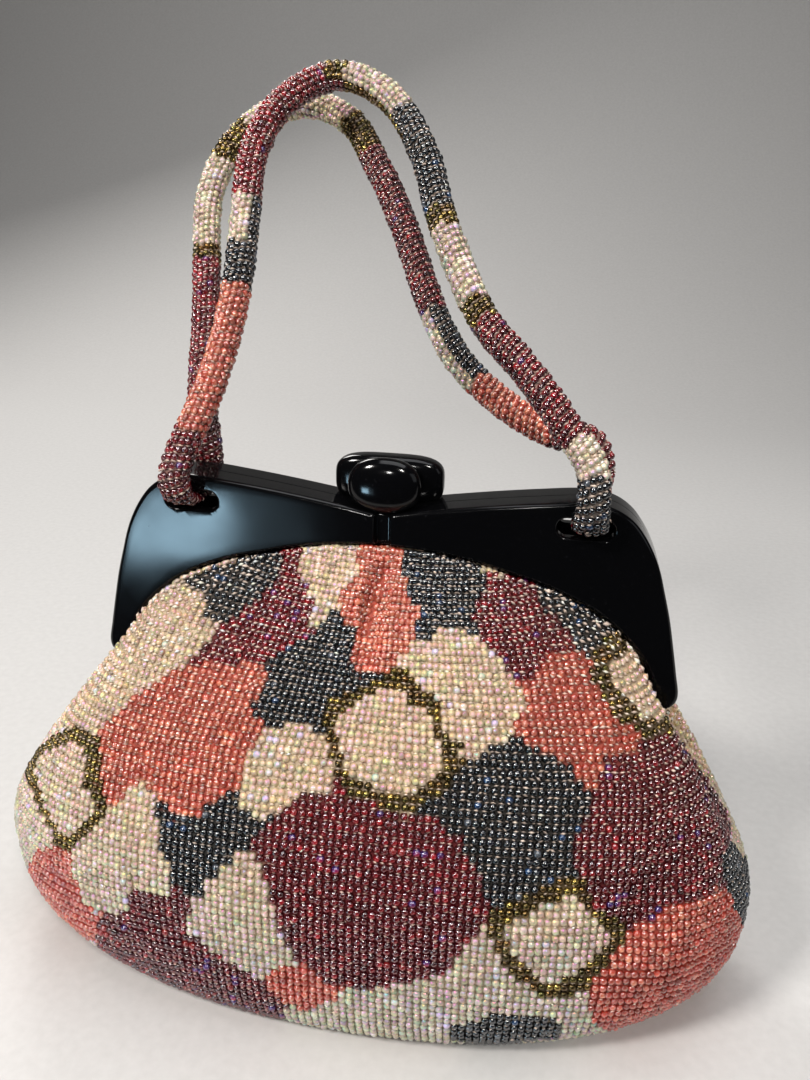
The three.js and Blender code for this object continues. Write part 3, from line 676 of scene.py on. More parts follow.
# The chart of the front panel, read off the picture: each patch's colour and its outline in picture pixels
PATCHES = (
    ("navy", [
        (183, 577), (200, 570), (230, 560), (262, 550), (281, 546), (283, 556), (276, 566), (278, 578),
        (262, 594), (243, 606), (238, 615), (228, 622), (216, 625), (201, 611), (206, 597), (188, 590),
    ]),
    ("garnet", [
        (281, 546), (300, 543), (299, 556), (293, 562), (306, 585), (303, 595), (317, 597), (309, 615),
        (305, 628), (310, 636), (298, 640), (285, 650), (268, 657), (265, 662), (200, 661), (188, 664),
        (190, 656), (205, 644), (228, 622), (245, 604), (262, 594), (277, 576),
    ]),
    ("coral", [
        (358, 542), (402, 546), (404, 560), (400, 570), (408, 578), (408, 603), (424, 606), (413, 629),
        (410, 650), (398, 655), (395, 666), (379, 673), (352, 666), (352, 652), (355, 629), (341, 618),
        (340, 591), (358, 577),
    ]),
    ("navy", [
        (333, 606), (340, 614), (338, 621), (355, 629), (350, 664), (379, 676), (346, 692), (326, 705),
        (326, 725), (329, 736), (303, 725), (263, 725), (250, 706), (265, 681), (266, 660), (285, 650),
        (298, 640), (310, 636), (321, 621),
    ]),
    ("coral", [
        (97, 732), (130, 697), (179, 668), (200, 661), (265, 663), (265, 681), (250, 706), (261, 722),
        (258, 741), (243, 760), (240, 787), (227, 789), (203, 803), (186, 818), (171, 811), (159, 794),
        (135, 780), (124, 792), (112, 810), (100, 792), (98, 752),
    ]),
    ("coral", [
        (36, 853), (50, 848), (62, 853), (72, 862), (72, 875), (78, 893), (82, 905), (95, 915),
        (99, 945), (60, 930), (20, 890), (28, 866),
    ]),
    ("navy", [
        (155, 795), (171, 811), (186, 818), (203, 817), (205, 806), (222, 800), (227, 791), (237, 794),
        (235, 811), (265, 818), (252, 832), (250, 853), (238, 850), (230, 864), (219, 865), (218, 880),
        (203, 882), (205, 893), (195, 902), (178, 887), (166, 882), (170, 860), (158, 855), (162, 838),
        (156, 820),
    ]),
    ("garnet", [
        (127, 893), (140, 893), (150, 898), (166, 898), (166, 885), (178, 886), (181, 897), (192, 901),
        (186, 920), (187, 938), (200, 941), (207, 952), (222, 962), (237, 968), (248, 977), (262, 983),
        (268, 995), (281, 1002), (283, 1025), (230, 1030), (150, 1010), (95, 950), (96, 920), (105, 914),
        (115, 917), (127, 910),
    ]),
    ("coral", [
        (265, 985), (268, 975), (280, 968), (300, 967), (310, 972), (316, 980), (330, 984), (338, 995),
        (335, 1001), (318, 1005), (310, 1013), (300, 1013), (285, 1005), (268, 994),
    ]),
    ("navy", [
        (405, 547), (440, 552), (478, 562), (490, 575), (484, 590), (478, 600), (472, 615), (480, 630),
        (481, 640), (470, 632), (455, 625), (437, 626), (433, 638), (414, 640), (413, 629), (424, 606),
        (408, 603), (408, 578), (400, 570), (404, 560),
    ]),
    ("garnet", [
        (490, 573), (510, 573), (535, 578), (540, 595), (541, 608), (557, 617), (570, 629), (573, 643),
        (572, 648), (556, 650), (547, 658), (540, 664), (537, 678), (518, 683), (508, 673), (498, 655),
        (480, 636), (474, 618), (478, 600), (484, 590),
    ]),
    ("navy", [
        (535, 578), (555, 582), (577, 590), (600, 605), (615, 618), (624, 630), (606, 640), (602, 648),
        (594, 658), (583, 655), (574, 645), (570, 629), (557, 617), (541, 608),
    ]),
    ("coral", [
        (556, 650), (572, 648), (583, 655), (592, 660), (592, 681), (604, 690), (608, 704), (615, 713),
        (622, 722), (640, 724), (640, 753), (607, 758), (603, 775), (594, 786), (581, 786), (572, 778),
        (570, 764), (556, 758), (540, 747), (524, 739), (516, 737), (514, 719), (532, 707), (518, 683),
        (537, 678), (540, 664), (547, 658),
    ]),
    ("bronze", [
        (603, 641), (621, 630), (634, 640), (625, 655), (612, 660), (612, 688), (622, 692), (631, 703),
        (640, 707), (642, 721), (664, 719), (668, 712), (678, 704), (690, 724), (675, 733), (660, 738),
        (641, 738), (638, 722), (622, 722), (612, 712), (605, 695), (592, 683), (592, 662), (594, 655),
    ]),
    ("garnet", [
        (641, 739), (660, 738), (675, 733), (690, 724), (706, 745), (715, 768), (724, 795), (731, 820),
        (733, 840), (725, 862), (722, 878), (716, 892), (708, 900), (662, 903), (655, 915), (650, 925),
        (630, 928), (620, 920), (606, 922), (594, 915), (592, 898), (586, 880), (577, 870), (573, 858),
        (573, 842), (582, 830), (590, 815), (595, 790), (605, 772), (607, 758), (640, 753),
    ]),
    ("navy", [
        (733, 840), (746, 858), (756, 880), (756, 915), (747, 932), (740, 920), (735, 900), (728, 885),
        (722, 876), (725, 860),
    ]),
    ("navy", [
        (506, 745), (510, 738), (524, 738), (528, 746), (540, 748), (540, 755), (556, 757), (556, 763),
        (572, 763), (572, 775), (582, 780), (586, 786), (594, 786), (596, 797), (590, 815), (582, 830),
        (573, 842), (573, 860), (577, 870), (560, 880), (550, 884), (540, 893), (525, 896), (512, 903),
        (497, 910), (483, 903), (480, 885), (478, 870), (466, 857), (450, 835), (445, 822), (422, 815),
        (418, 808), (430, 800), (445, 795), (462, 768), (478, 755), (495, 745),
    ]),
    ("garnet", [
        (331, 778), (341, 780), (350, 795), (375, 803), (386, 812), (418, 815), (440, 822), (445, 832),
        (460, 842), (467, 857), (478, 868), (481, 885), (484, 903), (487, 915), (480, 925), (475, 938),
        (462, 950), (455, 965), (440, 975), (420, 983), (400, 986), (365, 993), (335, 990), (318, 980),
        (300, 960), (290, 950), (280, 937), (275, 920), (268, 888), (257, 860), (251, 850), (253, 838),
        (268, 828), (283, 806), (298, 800), (303, 792), (325, 797), (330, 790),
    ]),
    ("coral", [
        (630, 928), (650, 925), (660, 912), (668, 905), (708, 900), (718, 885), (728, 890), (736, 905),
        (744, 925), (746, 945), (735, 975), (712, 1000), (675, 1024), (620, 1036), (595, 1026), (590, 1010),
        (586, 993), (596, 980), (608, 968), (616, 955), (630, 935),
    ]),
    ("navy", [
        (447, 1025), (470, 1027), (490, 1017), (520, 1019), (550, 1020), (560, 1028), (556, 1040),
        (520, 1044), (480, 1046), (450, 1042),
    ]),
)
# Bronze rings of the chart: outline and the cream middle inside it, in picture pixels
RINGS = (
    ([
        (77, 725), (100, 739), (97, 785), (107, 813), (67, 856), (44, 824), (24, 778), (25, 757),
        (54, 733),
    ], [
        (44, 749), (73, 741), (83, 752), (81, 783), (92, 803), (92, 812), (72, 833), (60, 838),
        (45, 812), (33, 777), (34, 762),
    ]),
    ([
        (383, 676), (395, 668), (408, 668), (421, 688), (443, 705), (443, 727), (461, 745), (461, 768),
        (450, 782), (441, 797), (424, 803), (416, 812), (386, 812), (374, 803), (352, 798), (341, 780),
        (329, 752), (323, 728), (324, 704), (345, 690), (375, 684),
    ], [
        (352, 703), (387, 686), (403, 688), (410, 708), (430, 712), (433, 727), (440, 748), (446, 766),
        (438, 779), (418, 787), (413, 796), (389, 796), (352, 779), (339, 755), (333, 720),
    ]),
    ([
        (522, 897), (540, 890), (556, 882), (580, 874), (588, 888), (597, 915), (610, 915), (628, 925),
        (630, 938), (615, 950), (612, 962), (598, 975), (585, 985), (580, 995), (560, 1001), (545, 999),
        (532, 990), (518, 980), (505, 968), (500, 955), (485, 935), (485, 920), (500, 908),
    ], [
        (548, 905), (575, 895), (583, 905), (592, 918), (600, 930), (614, 935), (606, 950), (598, 960),
        (582, 972), (562, 982), (548, 985), (532, 978), (520, 965), (503, 940), (500, 930), (515, 924),
        (528, 915),
    ]),
)


def inside(outline, x, y):
    """Whether each pixel lies inside an outline: a line drawn from it to the right crosses the outline an
    odd number of times."""
    found = np.zeros(x.shape, bool)
    for (x0, y0), (x1, y1) in zip(outline, outline[1:] + outline[:1]):
        if y0 != y1:
            crossing = x0 + (y - y0) * (x1 - x0) / (y1 - y0)
            found ^= ((y0 > y) != (y1 > y)) & (x < crossing)
    return found


def chart_at(x, y, back):
    """Name of the chart's colour at each pixel: cream, then the patches, then the rings, of which the
    back panel leaves out the first."""
    colour = np.full(x.shape, "cream", dtype="<U6")
    for name, outline in PATCHES:
        colour[inside(outline, x, y)] = name
    for number, (outline, middle) in enumerate(RINGS):
        shown = ~back | (number > 0)
        colour[inside(outline, x, y) & shown] = "bronze"
        colour[inside(middle, x, y) & shown] = "cream"
    return colour


def chart_colour(points, back):
    """Name of each bead's colour, from where the picture sees it. The back panel, which the picture
    doesn't show, is knitted from the same chart turned half round. A lone cream bead, whose neighbours on
    three sides or more are not cream, takes its neighbour's colour."""
    seen = np.where(back[:, None], points * [-1, -1, 1] + [0, 2 * BELLY_SHIFT, 0], points)
    x, y = picture_point(seen * MM)
    colour = chart_at(x, y, back)
    steps = ((-BEAD_PIXELS, 0), (BEAD_PIXELS, 0), (0, -BEAD_PIXELS), (0, BEAD_PIXELS))
    beside = np.stack([chart_at(x + right, y + down, back) for right, down in steps])
    lone = (colour == "cream") & ((beside != "cream").sum(axis=0) > 2)
    return np.where(lone, np.where(beside[0] != "cream", beside[0], beside[1]), colour)


def painted_shade_and_glass_light(colours, stretch):
    """Painted shade and light on the yarn under beads of the named colours: the shade under them and the
    coloured light they pass on, or the plain yarn where it is stretched and shows."""
    thrown = np.zeros((len(colours), 3))
    for name, look in BEAD_COLOURS.items():
        thrown[colours == name] = look["painted_shade_and_glass_light"]
    return thrown + (YARN_COLOUR - thrown) * stretch[:, None]


def cloth_stretch(points, down):
    """How far the cloth is stretched, from 0 to 1: most at the frame, none low down, and less by a bell
    over the middle, where it is gathered."""
    bell = (points[:, 0] - GATHER_MIDDLE) / GATHER_WIDTH
    return np.clip(1 - down / STRETCH_END, 0, 1) * (1 - GATHER_SLACK * np.exp(-0.5 * bell ** 2))


def panel_beads(start):
    """Places (turn, down) of one panel's beads. Rows lie at even distances up from the belly and at even
    shares of the way under; beads lie at even distances along each row from the panel's middle line, so
    columns stop at the side seams. Where the frame gathers the cloth, rows dip towards the middle by a
    bell and open a little, and columns lean in by the bell's slope."""
    facing = -1 if start == 0 else 1
    turn = np.linspace(start, start + np.pi, PANEL_STEPS)
    down = np.linspace(-1, 2, DOWN_STEPS)
    face = pouch_point(turn[:, None], down)
    steps = np.linalg.norm(np.diff(face, axis=1), axis=2)
    along = np.concatenate([np.zeros((len(turn), 1)), np.cumsum(steps, axis=1)], axis=1)
    belly = np.searchsorted(down, 1.0)
    height = along[:, belly:belly + 1] - along
    below = along[:, -1:] - along[:, belly:belly + 1]
    gather = np.clip(1 - down / GATHER_END, 0, 1)
    bell = (face[..., 0] - GATHER_MIDDLE) / GATHER_WIDTH
    dip = GATHER_DIP * (np.exp(-0.5 * bell ** 2) - GATHER_LEVEL) * gather ** GATHER_POWER
    opened = height - GATHER_STRETCH * GATHER_END * along[:, belly:belly + 1] * gather ** 2 / 2
    row_number = np.where(height >= 0, (opened + dip) / ROW_PITCH, LOWER_ROWS * height / below)
    rows = np.arange(-LOWER_ROWS, int(row_number.max()) + 1)
    row_down = np.array([np.interp(rows, numbers[::-1], down[::-1], right=np.nan) for numbers in row_number])
    places = []
    for column in row_down.T:
        held = ~np.isnan(column)
        if held.sum() < 3:
            continue
        held_turn, held_down = turn[held], column[held]
        line = pouch_point(held_turn, held_down)
        distance = np.concatenate([[0], np.cumsum(np.linalg.norm(np.diff(line, axis=0), axis=1))])
        distance -= np.interp(start + np.pi / 2, held_turn, distance)
        bell = (line[:, 0] - GATHER_MIDDLE) / GATHER_WIDTH * facing
        gathered = np.clip(1 - held_down / GATHER_END, 0, 1) * GATHER_END * along[held, belly]
        distance = distance + GATHER_LEAN * gathered * bell * np.exp(0.5 - 0.5 * bell ** 2)
        first = np.ceil(distance[0] / COLUMN_PITCH + SEAM_MARGIN)
        last = np.floor(distance[-1] / COLUMN_PITCH - SEAM_MARGIN)
        at = np.arange(first, last + 1) * COLUMN_PITCH
        place = [np.interp(at, distance, values) for values in (held_turn, held_down)]
        places.append(np.stack(place, axis=1))
    return np.concatenate(places)


def bottom_beads():
    """Beads of the flat bottom: straight rows and columns inside its rounded outline; centres, normals,
    row lines."""
    x = np.arange(-BASE_X, BASE_X, COLUMN_PITCH)
    y = np.arange(-BASE_Y, BASE_Y, ROW_PITCH)
    x, y = (a.ravel() for a in np.meshgrid(x, y))
    kept = np.abs(x / (BASE_X - 1)) ** BELLY_POWER + np.abs(y / (BASE_Y - 1)) ** BELLY_POWER < 1
    x, y = x[kept], y[kept]
    points = np.stack([x, y + BELLY_SHIFT, 0 * x], axis=1)
    return points, np.tile([0.0, 0.0, -1.0], (len(x), 1)), np.tile([1.0, 0.0, 0.0], (len(x), 1))


def bead_shape():
    """One bead as rings about its thread hole: angle runs round the hole, tilt from one end to the other;
    the ends are flattened by taking a power of the tilt's cosine."""
    angle = 2 * np.pi * np.arange(BEAD_SIDES) / BEAD_SIDES
    tilt = np.radians([45, 90, 135])[:, None]
    ends = BEAD_END * rounded(np.cos(tilt), BEAD_END_POWER)
    reach = np.sin(tilt) ** BEAD_RIM_POWER
    ring = np.stack(np.broadcast_arrays(ends, reach * np.cos(angle), reach * np.sin(angle)), -1)
    points = np.concatenate([[[BEAD_TIP, 0, 0]], ring.reshape(-1, 3), [[-BEAD_TIP, 0, 0]]]) / 2
    first = np.arange(BEAD_SIDES)
    after = (first + 1) % BEAD_SIDES
    faces = [np.stack([first * 0, 1 + first, 1 + after], -1)]
    for row in (1, 1 + BEAD_SIDES):
        faces.append(np.stack([row + first, row + BEAD_SIDES + first, row + after], -1))
        faces.append(np.stack([row + after, row + BEAD_SIDES + first, row + BEAD_SIDES + after], -1))
    low = 1 + 2 * BEAD_SIDES
    faces.append(np.stack([low + first, first * 0 + low + BEAD_SIDES, low + after], -1))
    return points, np.concatenate(faces)


def bead_glass(colour, roughness, relief, metallic, coat, lustre):
    """Glass bead: each bead's tint, which carries its painted light, clouded a little inside, and a surface
    that is not quite even; a lustre is a film a few hundred nanometres thick, whose thickness and so whose
    hue changes from bead to bead."""
    material, tree, shader = new_material("bead_" + colour)
    shader.inputs["IOR"].default_value = 1.95
    shader.inputs["Specular IOR Level"].default_value = 0.8
    shader.inputs["Metallic"].default_value = metallic
    shader.inputs["Coat Weight"].default_value = coat
    shader.inputs["Coat Roughness"].default_value = 0.08
    if lustre:
        film = range_between(tree, noise_on_object(tree, 450.0, 0.0), *LUSTRE_FILM)
        tree.links.new(film, shader.inputs["Thin Film Thickness"])
        shader.inputs["Thin Film IOR"].default_value = 1.7
    cloud = noise_on_object(tree, 700.0, 2.0)
    shade = ramp_between(tree, cloud, 0.3, 0.6, CLOUD_SHADE, WHITE)
    tree.links.new(shaded_tint(tree, "bead_tint", shade), shader.inputs["Base Color"])
    tree.links.new(range_between(tree, cloud, roughness * 0.6, roughness * 1.5), shader.inputs["Roughness"])
    add_bump(tree, shader, noise_on_object(tree, 1500.0, 1.0), 0.1 * MM, relief)
    return material


bead_materials = {
    "cream": bead_glass("cream", 0.20, 0.6, 0.0, 0.3, True),
    "coral": bead_glass("coral", 0.16, 0.4, 0.0, 0.2, False),
    "garnet": bead_glass("garnet", 0.11, 0.25, 0.0, 0.0, False),
    "navy": bead_glass("navy", 0.10, 0.25, 0.0, 0.0, False),
    "bronze": bead_glass("bronze", 0.20, 0.2, 0.9, 0.3, False),
}
bead_points, bead_faces = bead_shape()
stitch_points = np.concatenate([np.eye(3), -np.eye(3)]) / 2
stitch_faces = np.array([
    (0, 1, 2), (1, 3, 2), (3, 4, 2), (4, 0, 2), (1, 0, 5), (3, 1, 5), (4, 3, 5), (0, 4, 5),
])
random = np.random.default_rng(7)


def copies(name, points, faces, size, axes, places):
    """One mesh of many copies of a shape: each is sized and turned by its own axes, and moved to its
    place."""
    moved = places[:, None] + np.einsum("vk,nk,nkd->nvd", points, np.broadcast_to(size, places.shape), axes)
    numbered = faces[None] + len(points) * np.arange(len(places))[:, None, None]
    return new_mesh(name, moved.reshape(-1, 3), numbered.reshape(-1, 3))


def painted_warmth_at(points):
    """Share of painted warm light in the glass colours, from 0 low on the bag, painted cool, to 1 high on it.
    """
    return np.clip((points[:, 2] - LOW_HEIGHT) / (HIGH_HEIGHT - LOW_HEIGHT), 0, 1)


def string_beads(name, node, centres, normals, sideways, colours, stretch, painted_warmth):
    """One piece for each colour: the bead's shape turned so that its hole lies along the row, tilted and
    sized a little at random, set into the cloth so that its top meets the pouch's face, and tinted bead
    by bead with painted light: painted warm light high on the bag, painted cool light low on it, and
    painted light gathered on its lower side. Under each bead, between its row and the next, lies a stitch
    of the yarn, a spindle along the row, painted with the shade and coloured light under the glass. Where the
    cloth is stretched, which goes from 0 to 1, beads are a little smaller, less painted light gathers on
    their lower side and more of the yarn shows."""
    count = len(centres)
    # Painted light: each bead's lower side is tinted towards a lighter colour, as light gathered in the glass
    directions = bead_points / np.linalg.norm(bead_points, axis=1, keepdims=True)
    gathered = np.clip(directions @ PAINTED_GLOW_SIDE, 0, 1)[:, None] ** 2
    gathered = gathered * (1 - STRETCH_PAINTED_GLOW_LOSS * stretch)[:, None, None]
    out = normals + random.normal(0, BEAD_TILT, (count, 3))
    out /= np.linalg.norm(out, axis=1, keepdims=True)
    row = sideways + random.normal(0, BEAD_TILT, (count, 3))
    row -= out * (row * out).sum(axis=1, keepdims=True)
    row /= np.linalg.norm(row, axis=1, keepdims=True)
    axes = np.stack([row, np.cross(out, row), out], axis=1)
    size = BEAD_SIZE * (random.normal(1, BEAD_SIZE_SPREAD, count) - STRETCH_SHRINK * stretch)[:, None]
    seat = centres - normals * BEAD_SEAT + random.normal(0, BEAD_JITTER, (count, 3))
    shade = random.normal(0, 1, (count, 1))
    drift = random.normal(0, BEAD_HUE_DRIFT, (count, 3))
    chance = random.random(count)
    pick = random.random(count)
    for colour, look in BEAD_COLOURS.items():
        own = colours == colour
        if not own.any():
            continue
        vary = np.exp(look["spread"] * (shade[own] + drift[own]))
        # Painted light: a warm tint high on the bag and a cool tint low on it
        warm = painted_warmth[own][:, None]
        tint = (np.array(look["low"]) * (1 - warm) + np.array(look["high"]) * warm) * vary
        # Painted glints: a few beads take other tints that stand in for sparkle
        odd = chance[own] < look["share"]
        tint[odd] = np.array(look["odd"])[(pick[own][odd] * len(look["odd"])).astype(int)]
        # Painted light gathered on each bead's lower side, mixed into its tint
        painted_glow = np.array(look["painted_glow"]) * vary
        tint = tint[:, None] * (1 - gathered[own]) + painted_glow[:, None] * gathered[own]
        piece = copies(f"{name}_{colour}", bead_points, bead_faces, size[own], axes[own], seat[own])
        stands_for(piece, bead_materials[colour], node)
        paint(piece, "bead_tint", tint.reshape(-1, 3))
    between = centres - normals * STITCH_SEAT + axes[:, 1] * STITCH_DROP
    stitch_size = STITCH_SIZE * random.uniform(*STITCH_SIZE_RANGE, (count, 1))
    stitch_size = stitch_size * (1 + STITCH_GROWTH * stretch)[:, None]
    stitches = copies(name + "_stitches", stitch_points, stitch_faces, stitch_size, axes, between)
    stands_for(stitches, knit_yarn, node)
    # Stitches painted with the shade and coloured light under the glass, plainer where stretched
    stitch_stretch = STITCH_STRETCH + (1 - STITCH_STRETCH) * stretch
    stitch_tint = painted_shade_and_glass_light(colours, stitch_stretch) * np.exp(STITCH_SHADE * shade)
    paint(stitches, "yarn_tint", np.repeat(stitch_tint, len(stitch_points), axis=0))


for panel, start in (("front", 0.0), ("back", np.pi)):
    bead_turn, bead_down = panel_beads(start).T
    centres, normals, sideways = pouch_frame(bead_turn, bead_down)
    on_back = np.full(len(centres), panel == "back")
    stretch = cloth_stretch(centres, bead_down)
    colours = chart_colour(centres, on_back)
    string_beads(panel + "_beads", "pouch", centres, normals, sideways, colours, stretch, painted_warmth_at(centres))
centres, normals, sideways = bottom_beads()
on_back = centres[:, 1] > BELLY_SHIFT
unstretched = np.zeros(len(centres))
colours = chart_colour(centres, on_back)
string_beads("bottom_beads", "pouch", centres, normals, sideways, colours, unstretched, painted_warmth_at(centres))
# The ground's yarn painted with the shade and coloured light under the glass
ground_turn, ground_down = ground_places.T
stretch = GROUND_STRETCH * cloth_stretch(ground_points, ground_down)
paint(pouch_knit, "yarn_tint", painted_shade_and_glass_light(chart_colour(ground_points, ground_turn > np.pi), stretch))


# Handles: cotton ropes in bead-knit sleeves, pressed flat where they go through the frame's slots.
# Each is a profile carried along its route, with beads wound round it in a spiral; both lean back.
ROPE_RADIUS = 4.7
SLOT_HALF_WIDTH = 5.2
SLOT_HALF_THICK = 2.4
SLOT_REACH = 60.0
FACE_STAND = 13.2
LEAN = 0.22
LEAN_POWER = 1.25
LEAN_START = 10.0
ROPE_BEADS_AROUND = 13
ROPE_ROW_PITCH = 2.25
ROPE_TWIST = 3
ROPE_STRETCH = 0.25
# Painted light on the handles' beads: mostly the cool tint
ROPE_PAINTED_WARMTH = 0.3
ROPE_SIDES = 28
ROPE_STEPS = 400
PRESS_START = 1.0
PRESS_LENGTH = 10.0
LOOP_X = -8.0
LOOP_HEIGHT = 50.0
INNER_SIDE = 0.15
# Way from the middle plane out through a slot: distance in front of the plane and height from the slot
SLOT_WAY = np.array([(1.2, 0.0), (5.0, 0.0), (8.6, 0.7), (11.7, 2.8), (13.1, 6.0)])
# Routes above that, from the left slot to the right one: x and height from the slot
FRONT_ROUTE = np.array([
    (-59.8, 10), (-56.8, 19), (-51.7, 33), (-49, 48), (-48.5, 63), (-50, 80), (-51, 97), (-44, 112),
    (-29, 119), (-12, 113), (2, 96), (9, 80), (16, 67), (25, 53), (38, 41), (49.5, 28.5), (57.5, 18.5),
    (58.5, 10),
])
BACK_ROUTE = np.array([
    (-59.5, 10), (-63, 25), (-65, 44), (-68.5, 63), (-72, 82), (-68, 98), (-57, 109), (-43, 112), (-29, 107),
    (-17, 93), (-7, 78), (1, 63), (8, 50), (17, 38), (31, 27.5), (46, 20.5), (58, 18.5), (61, 10),
])
# Stretches of colour: picture pixel on the rope where each begins, colour outside the loop and inside it
FRONT_STRETCHES = (
    (182, 497, "garnet", "garnet"), (196, 430, "coral", "coral"), (239, 284, "navy", "navy"),
    (243, 243, "cream", "navy"), (246, 203, "garnet", "garnet"), (328, 76, "bronze", "garnet"),
    (347, 76, "cream", "bronze"), (402, 112, "navy", "bronze"), (413, 138, "navy", "navy"),
    (440, 213, "bronze", "bronze"), (447, 233, "cream", "cream"), (478, 300, "bronze", "bronze"),
    (487, 320, "garnet", "garnet"), (580, 445, "cream", "cream"), (597, 477, "navy", "navy"),
    (597, 533, "navy", "garnet"),
)
BACK_STRETCHES = (
    (208, 465, "garnet", "garnet"), (208, 263, "bronze", "bronze"), (207, 246, "cream", "cream"),
    (222, 165, "bronze", "bronze"), (248, 131, "cream", "cream"), (350, 121, "bronze", "bronze"),
    (372, 152, "garnet", "garnet"), (433, 312, "navy", "cream"), (478, 385, "coral", "coral"),
    (548, 437, "garnet", "garnet"),
)


def rope_line(route, face, count):
    """Even points of a rope's middle: out of its left slot, along its route leaning back as a power of
    the height over the frame, and into its right slot; face is -1 for the front handle and 1 for the back
    one."""
    lean = LEAN * np.maximum(0, route[:, 1] - LEAN_START) ** LEAN_POWER
    middle = np.stack([route[:, 0], face * FACE_STAND + lean, route[:, 1]], axis=1)
    ways = []
    for x in (max(route[0, 0], -SLOT_REACH), min(route[-1, 0], SLOT_REACH)):
        ways.append(np.stack([np.full(len(SLOT_WAY), x), face * SLOT_WAY[:, 0], SLOT_WAY[:, 1]], axis=1))
    path = np.concatenate([ways[0], middle, ways[1][::-1]])
    return smooth_line(path + [0, 0, SLOT_HEIGHT], count)


def rope_surface(line, row, angle, inset):
    """Points, normals and round-the-rope directions at angles around the rope and rows along its line: an
    ellipse across the line, round in the open and pressed flat in the slots by a smooth step of the
    height."""
    slope = np.gradient(line, axis=0)
    number = np.arange(len(line))
    middle, tangent = (np.stack([np.interp(row, number, a) for a in b.T], axis=-1) for b in (line, slope))
    tangent /= np.linalg.norm(tangent, axis=-1, keepdims=True)
    height = middle[..., 2] - SLOT_HEIGHT
    across = np.stack([LOOP_X - middle[..., 0], 0 * height, np.minimum(0, LOOP_HEIGHT - height)], axis=-1)
    across -= tangent * (across * tangent).sum(axis=-1, keepdims=True)
    across /= np.linalg.norm(across, axis=-1, keepdims=True)
    away = np.cross(across, tangent)
    flat = np.maximum(0, 1 - np.maximum(0, height - PRESS_START) / PRESS_LENGTH)
    press = (flat * flat * (3 - 2 * flat))[..., None]
    wide = ROPE_RADIUS + (SLOT_HALF_WIDTH - ROPE_RADIUS) * press
    thick = ROPE_RADIUS + (SLOT_HALF_THICK - ROPE_RADIUS) * press
    cosine, sine = np.cos(angle)[..., None], np.sin(angle)[..., None]
    normal = across * cosine / wide + away * sine / thick
    normal /= np.linalg.norm(normal, axis=-1, keepdims=True)
    points = middle + across * wide * cosine + away * thick * sine - normal * inset
    return points, normal, np.cross(normal, tangent)


def rope_colours(line, row, angle, stretches):
    """Colour of each bead on the rope: the last stretch that begins before it, its outside or inside
    colour by which side of the rope the bead is on."""
    x, y = picture_point(line * MM)
    begins = [np.argmin(np.hypot(x - px, y - py)) for px, py, _, _ in stretches]
    begins[0] = -ROPE_TWIST
    names = np.array([stretch[2:] for stretch in stretches])
    order = np.searchsorted(begins, row, side="right") - 1
    return np.where(np.cos(angle) > INNER_SIDE, names[order, 1], names[order, 0])


for handle, route, face, stretches in (
    ("front_handle", FRONT_ROUTE, -1, FRONT_STRETCHES),
    ("back_handle", BACK_ROUTE, 1, BACK_STRETCHES),
):
    length = np.linalg.norm(np.diff(rope_line(route, face, ROPE_STEPS), axis=0), axis=1).sum()
    line = rope_line(route, face, int(length / ROPE_ROW_PITCH))
    around = 2 * np.pi * np.arange(ROPE_SIDES) / ROPE_SIDES
    row, angle = np.meshgrid(np.arange(len(line)), around, indexing="ij")
    rings, _, _ = rope_surface(line, row, angle, GROUND_DEPTH)
    core = stands_for(new_mesh(handle + "_knit", *joined_rings(rings)), knit_yarn, handle)
    row, angle = np.append(row, [0, len(line) - 1]), np.append(angle, [0, 0])
    core_colours = rope_colours(line, row, angle, stretches)
    # The rope's yarn painted with the shade and coloured light under its glass
    paint(core, "yarn_tint", painted_shade_and_glass_light(core_colours, np.full(len(row), ROPE_STRETCH)))
    turn = np.arange(ROPE_BEADS_AROUND) / ROPE_BEADS_AROUND
    row, turn = np.meshgrid(np.arange(len(line) + ROPE_TWIST), turn, indexing="ij")
    row = row - ROPE_TWIST * turn
    held = (row >= 0) & (row <= len(line) - 1)
    row, angle = row[held], 2 * np.pi * turn[held]
    centres, normals, sideways = rope_surface(line, row, angle, 0.0)
    bead_colours = rope_colours(line, row, angle, stretches)
    stretch = np.full(len(row), ROPE_STRETCH)
    painted_warmth = np.full(len(row), ROPE_PAINTED_WARMTH)
    string_beads(handle + "_beads", handle, centres, normals, sideways, bead_colours, stretch, painted_warmth)


# Floor and light: a pale sheet of paper on a table, curved up behind the bag and down over the table's front.
# The key light and two small ones put the sparkle into the beads; soft ones hang overhead and stand at the
# right and behind, and two low cool ones, a window and its dimmer curtain, shine in the frame's left half.
PAPER_LIGHT = (0.66, 0.65, 0.64, 1.0)
PAPER_DARK = (0.62, 0.61, 0.60, 1.0)
PAPER_WIDTH = 5.0
PAPER_FRONT = -0.13
PAPER_DROP = 0.03
PAPER_FOOT = -0.7
PAPER_BEND = 0.7
PAPER_RADIUS = 0.9
PAPER_TOP = 2.4
AIR_COLOUR = (0.9, 0.92, 0.95, 1.0)
AIR_LIGHT = 0.04
floor_material, floor_tree, floor_shader = new_material("paper")
paper_grain = noise_on_object(floor_tree, 300.0, 3.0)
paper_colour = ramp_between(floor_tree, paper_grain, 0.3, 0.7, PAPER_DARK, PAPER_LIGHT)
floor_tree.links.new(paper_colour, floor_shader.inputs["Base Color"])
floor_shader.inputs["Roughness"].default_value = 0.85
bend = np.linspace(0, np.pi / 2, 25)
paper_y = np.concatenate([
    [PAPER_FRONT - PAPER_DROP], PAPER_FRONT - PAPER_DROP * np.cos(bend),
    PAPER_BEND + PAPER_RADIUS * np.sin(bend), [PAPER_BEND + PAPER_RADIUS],
])
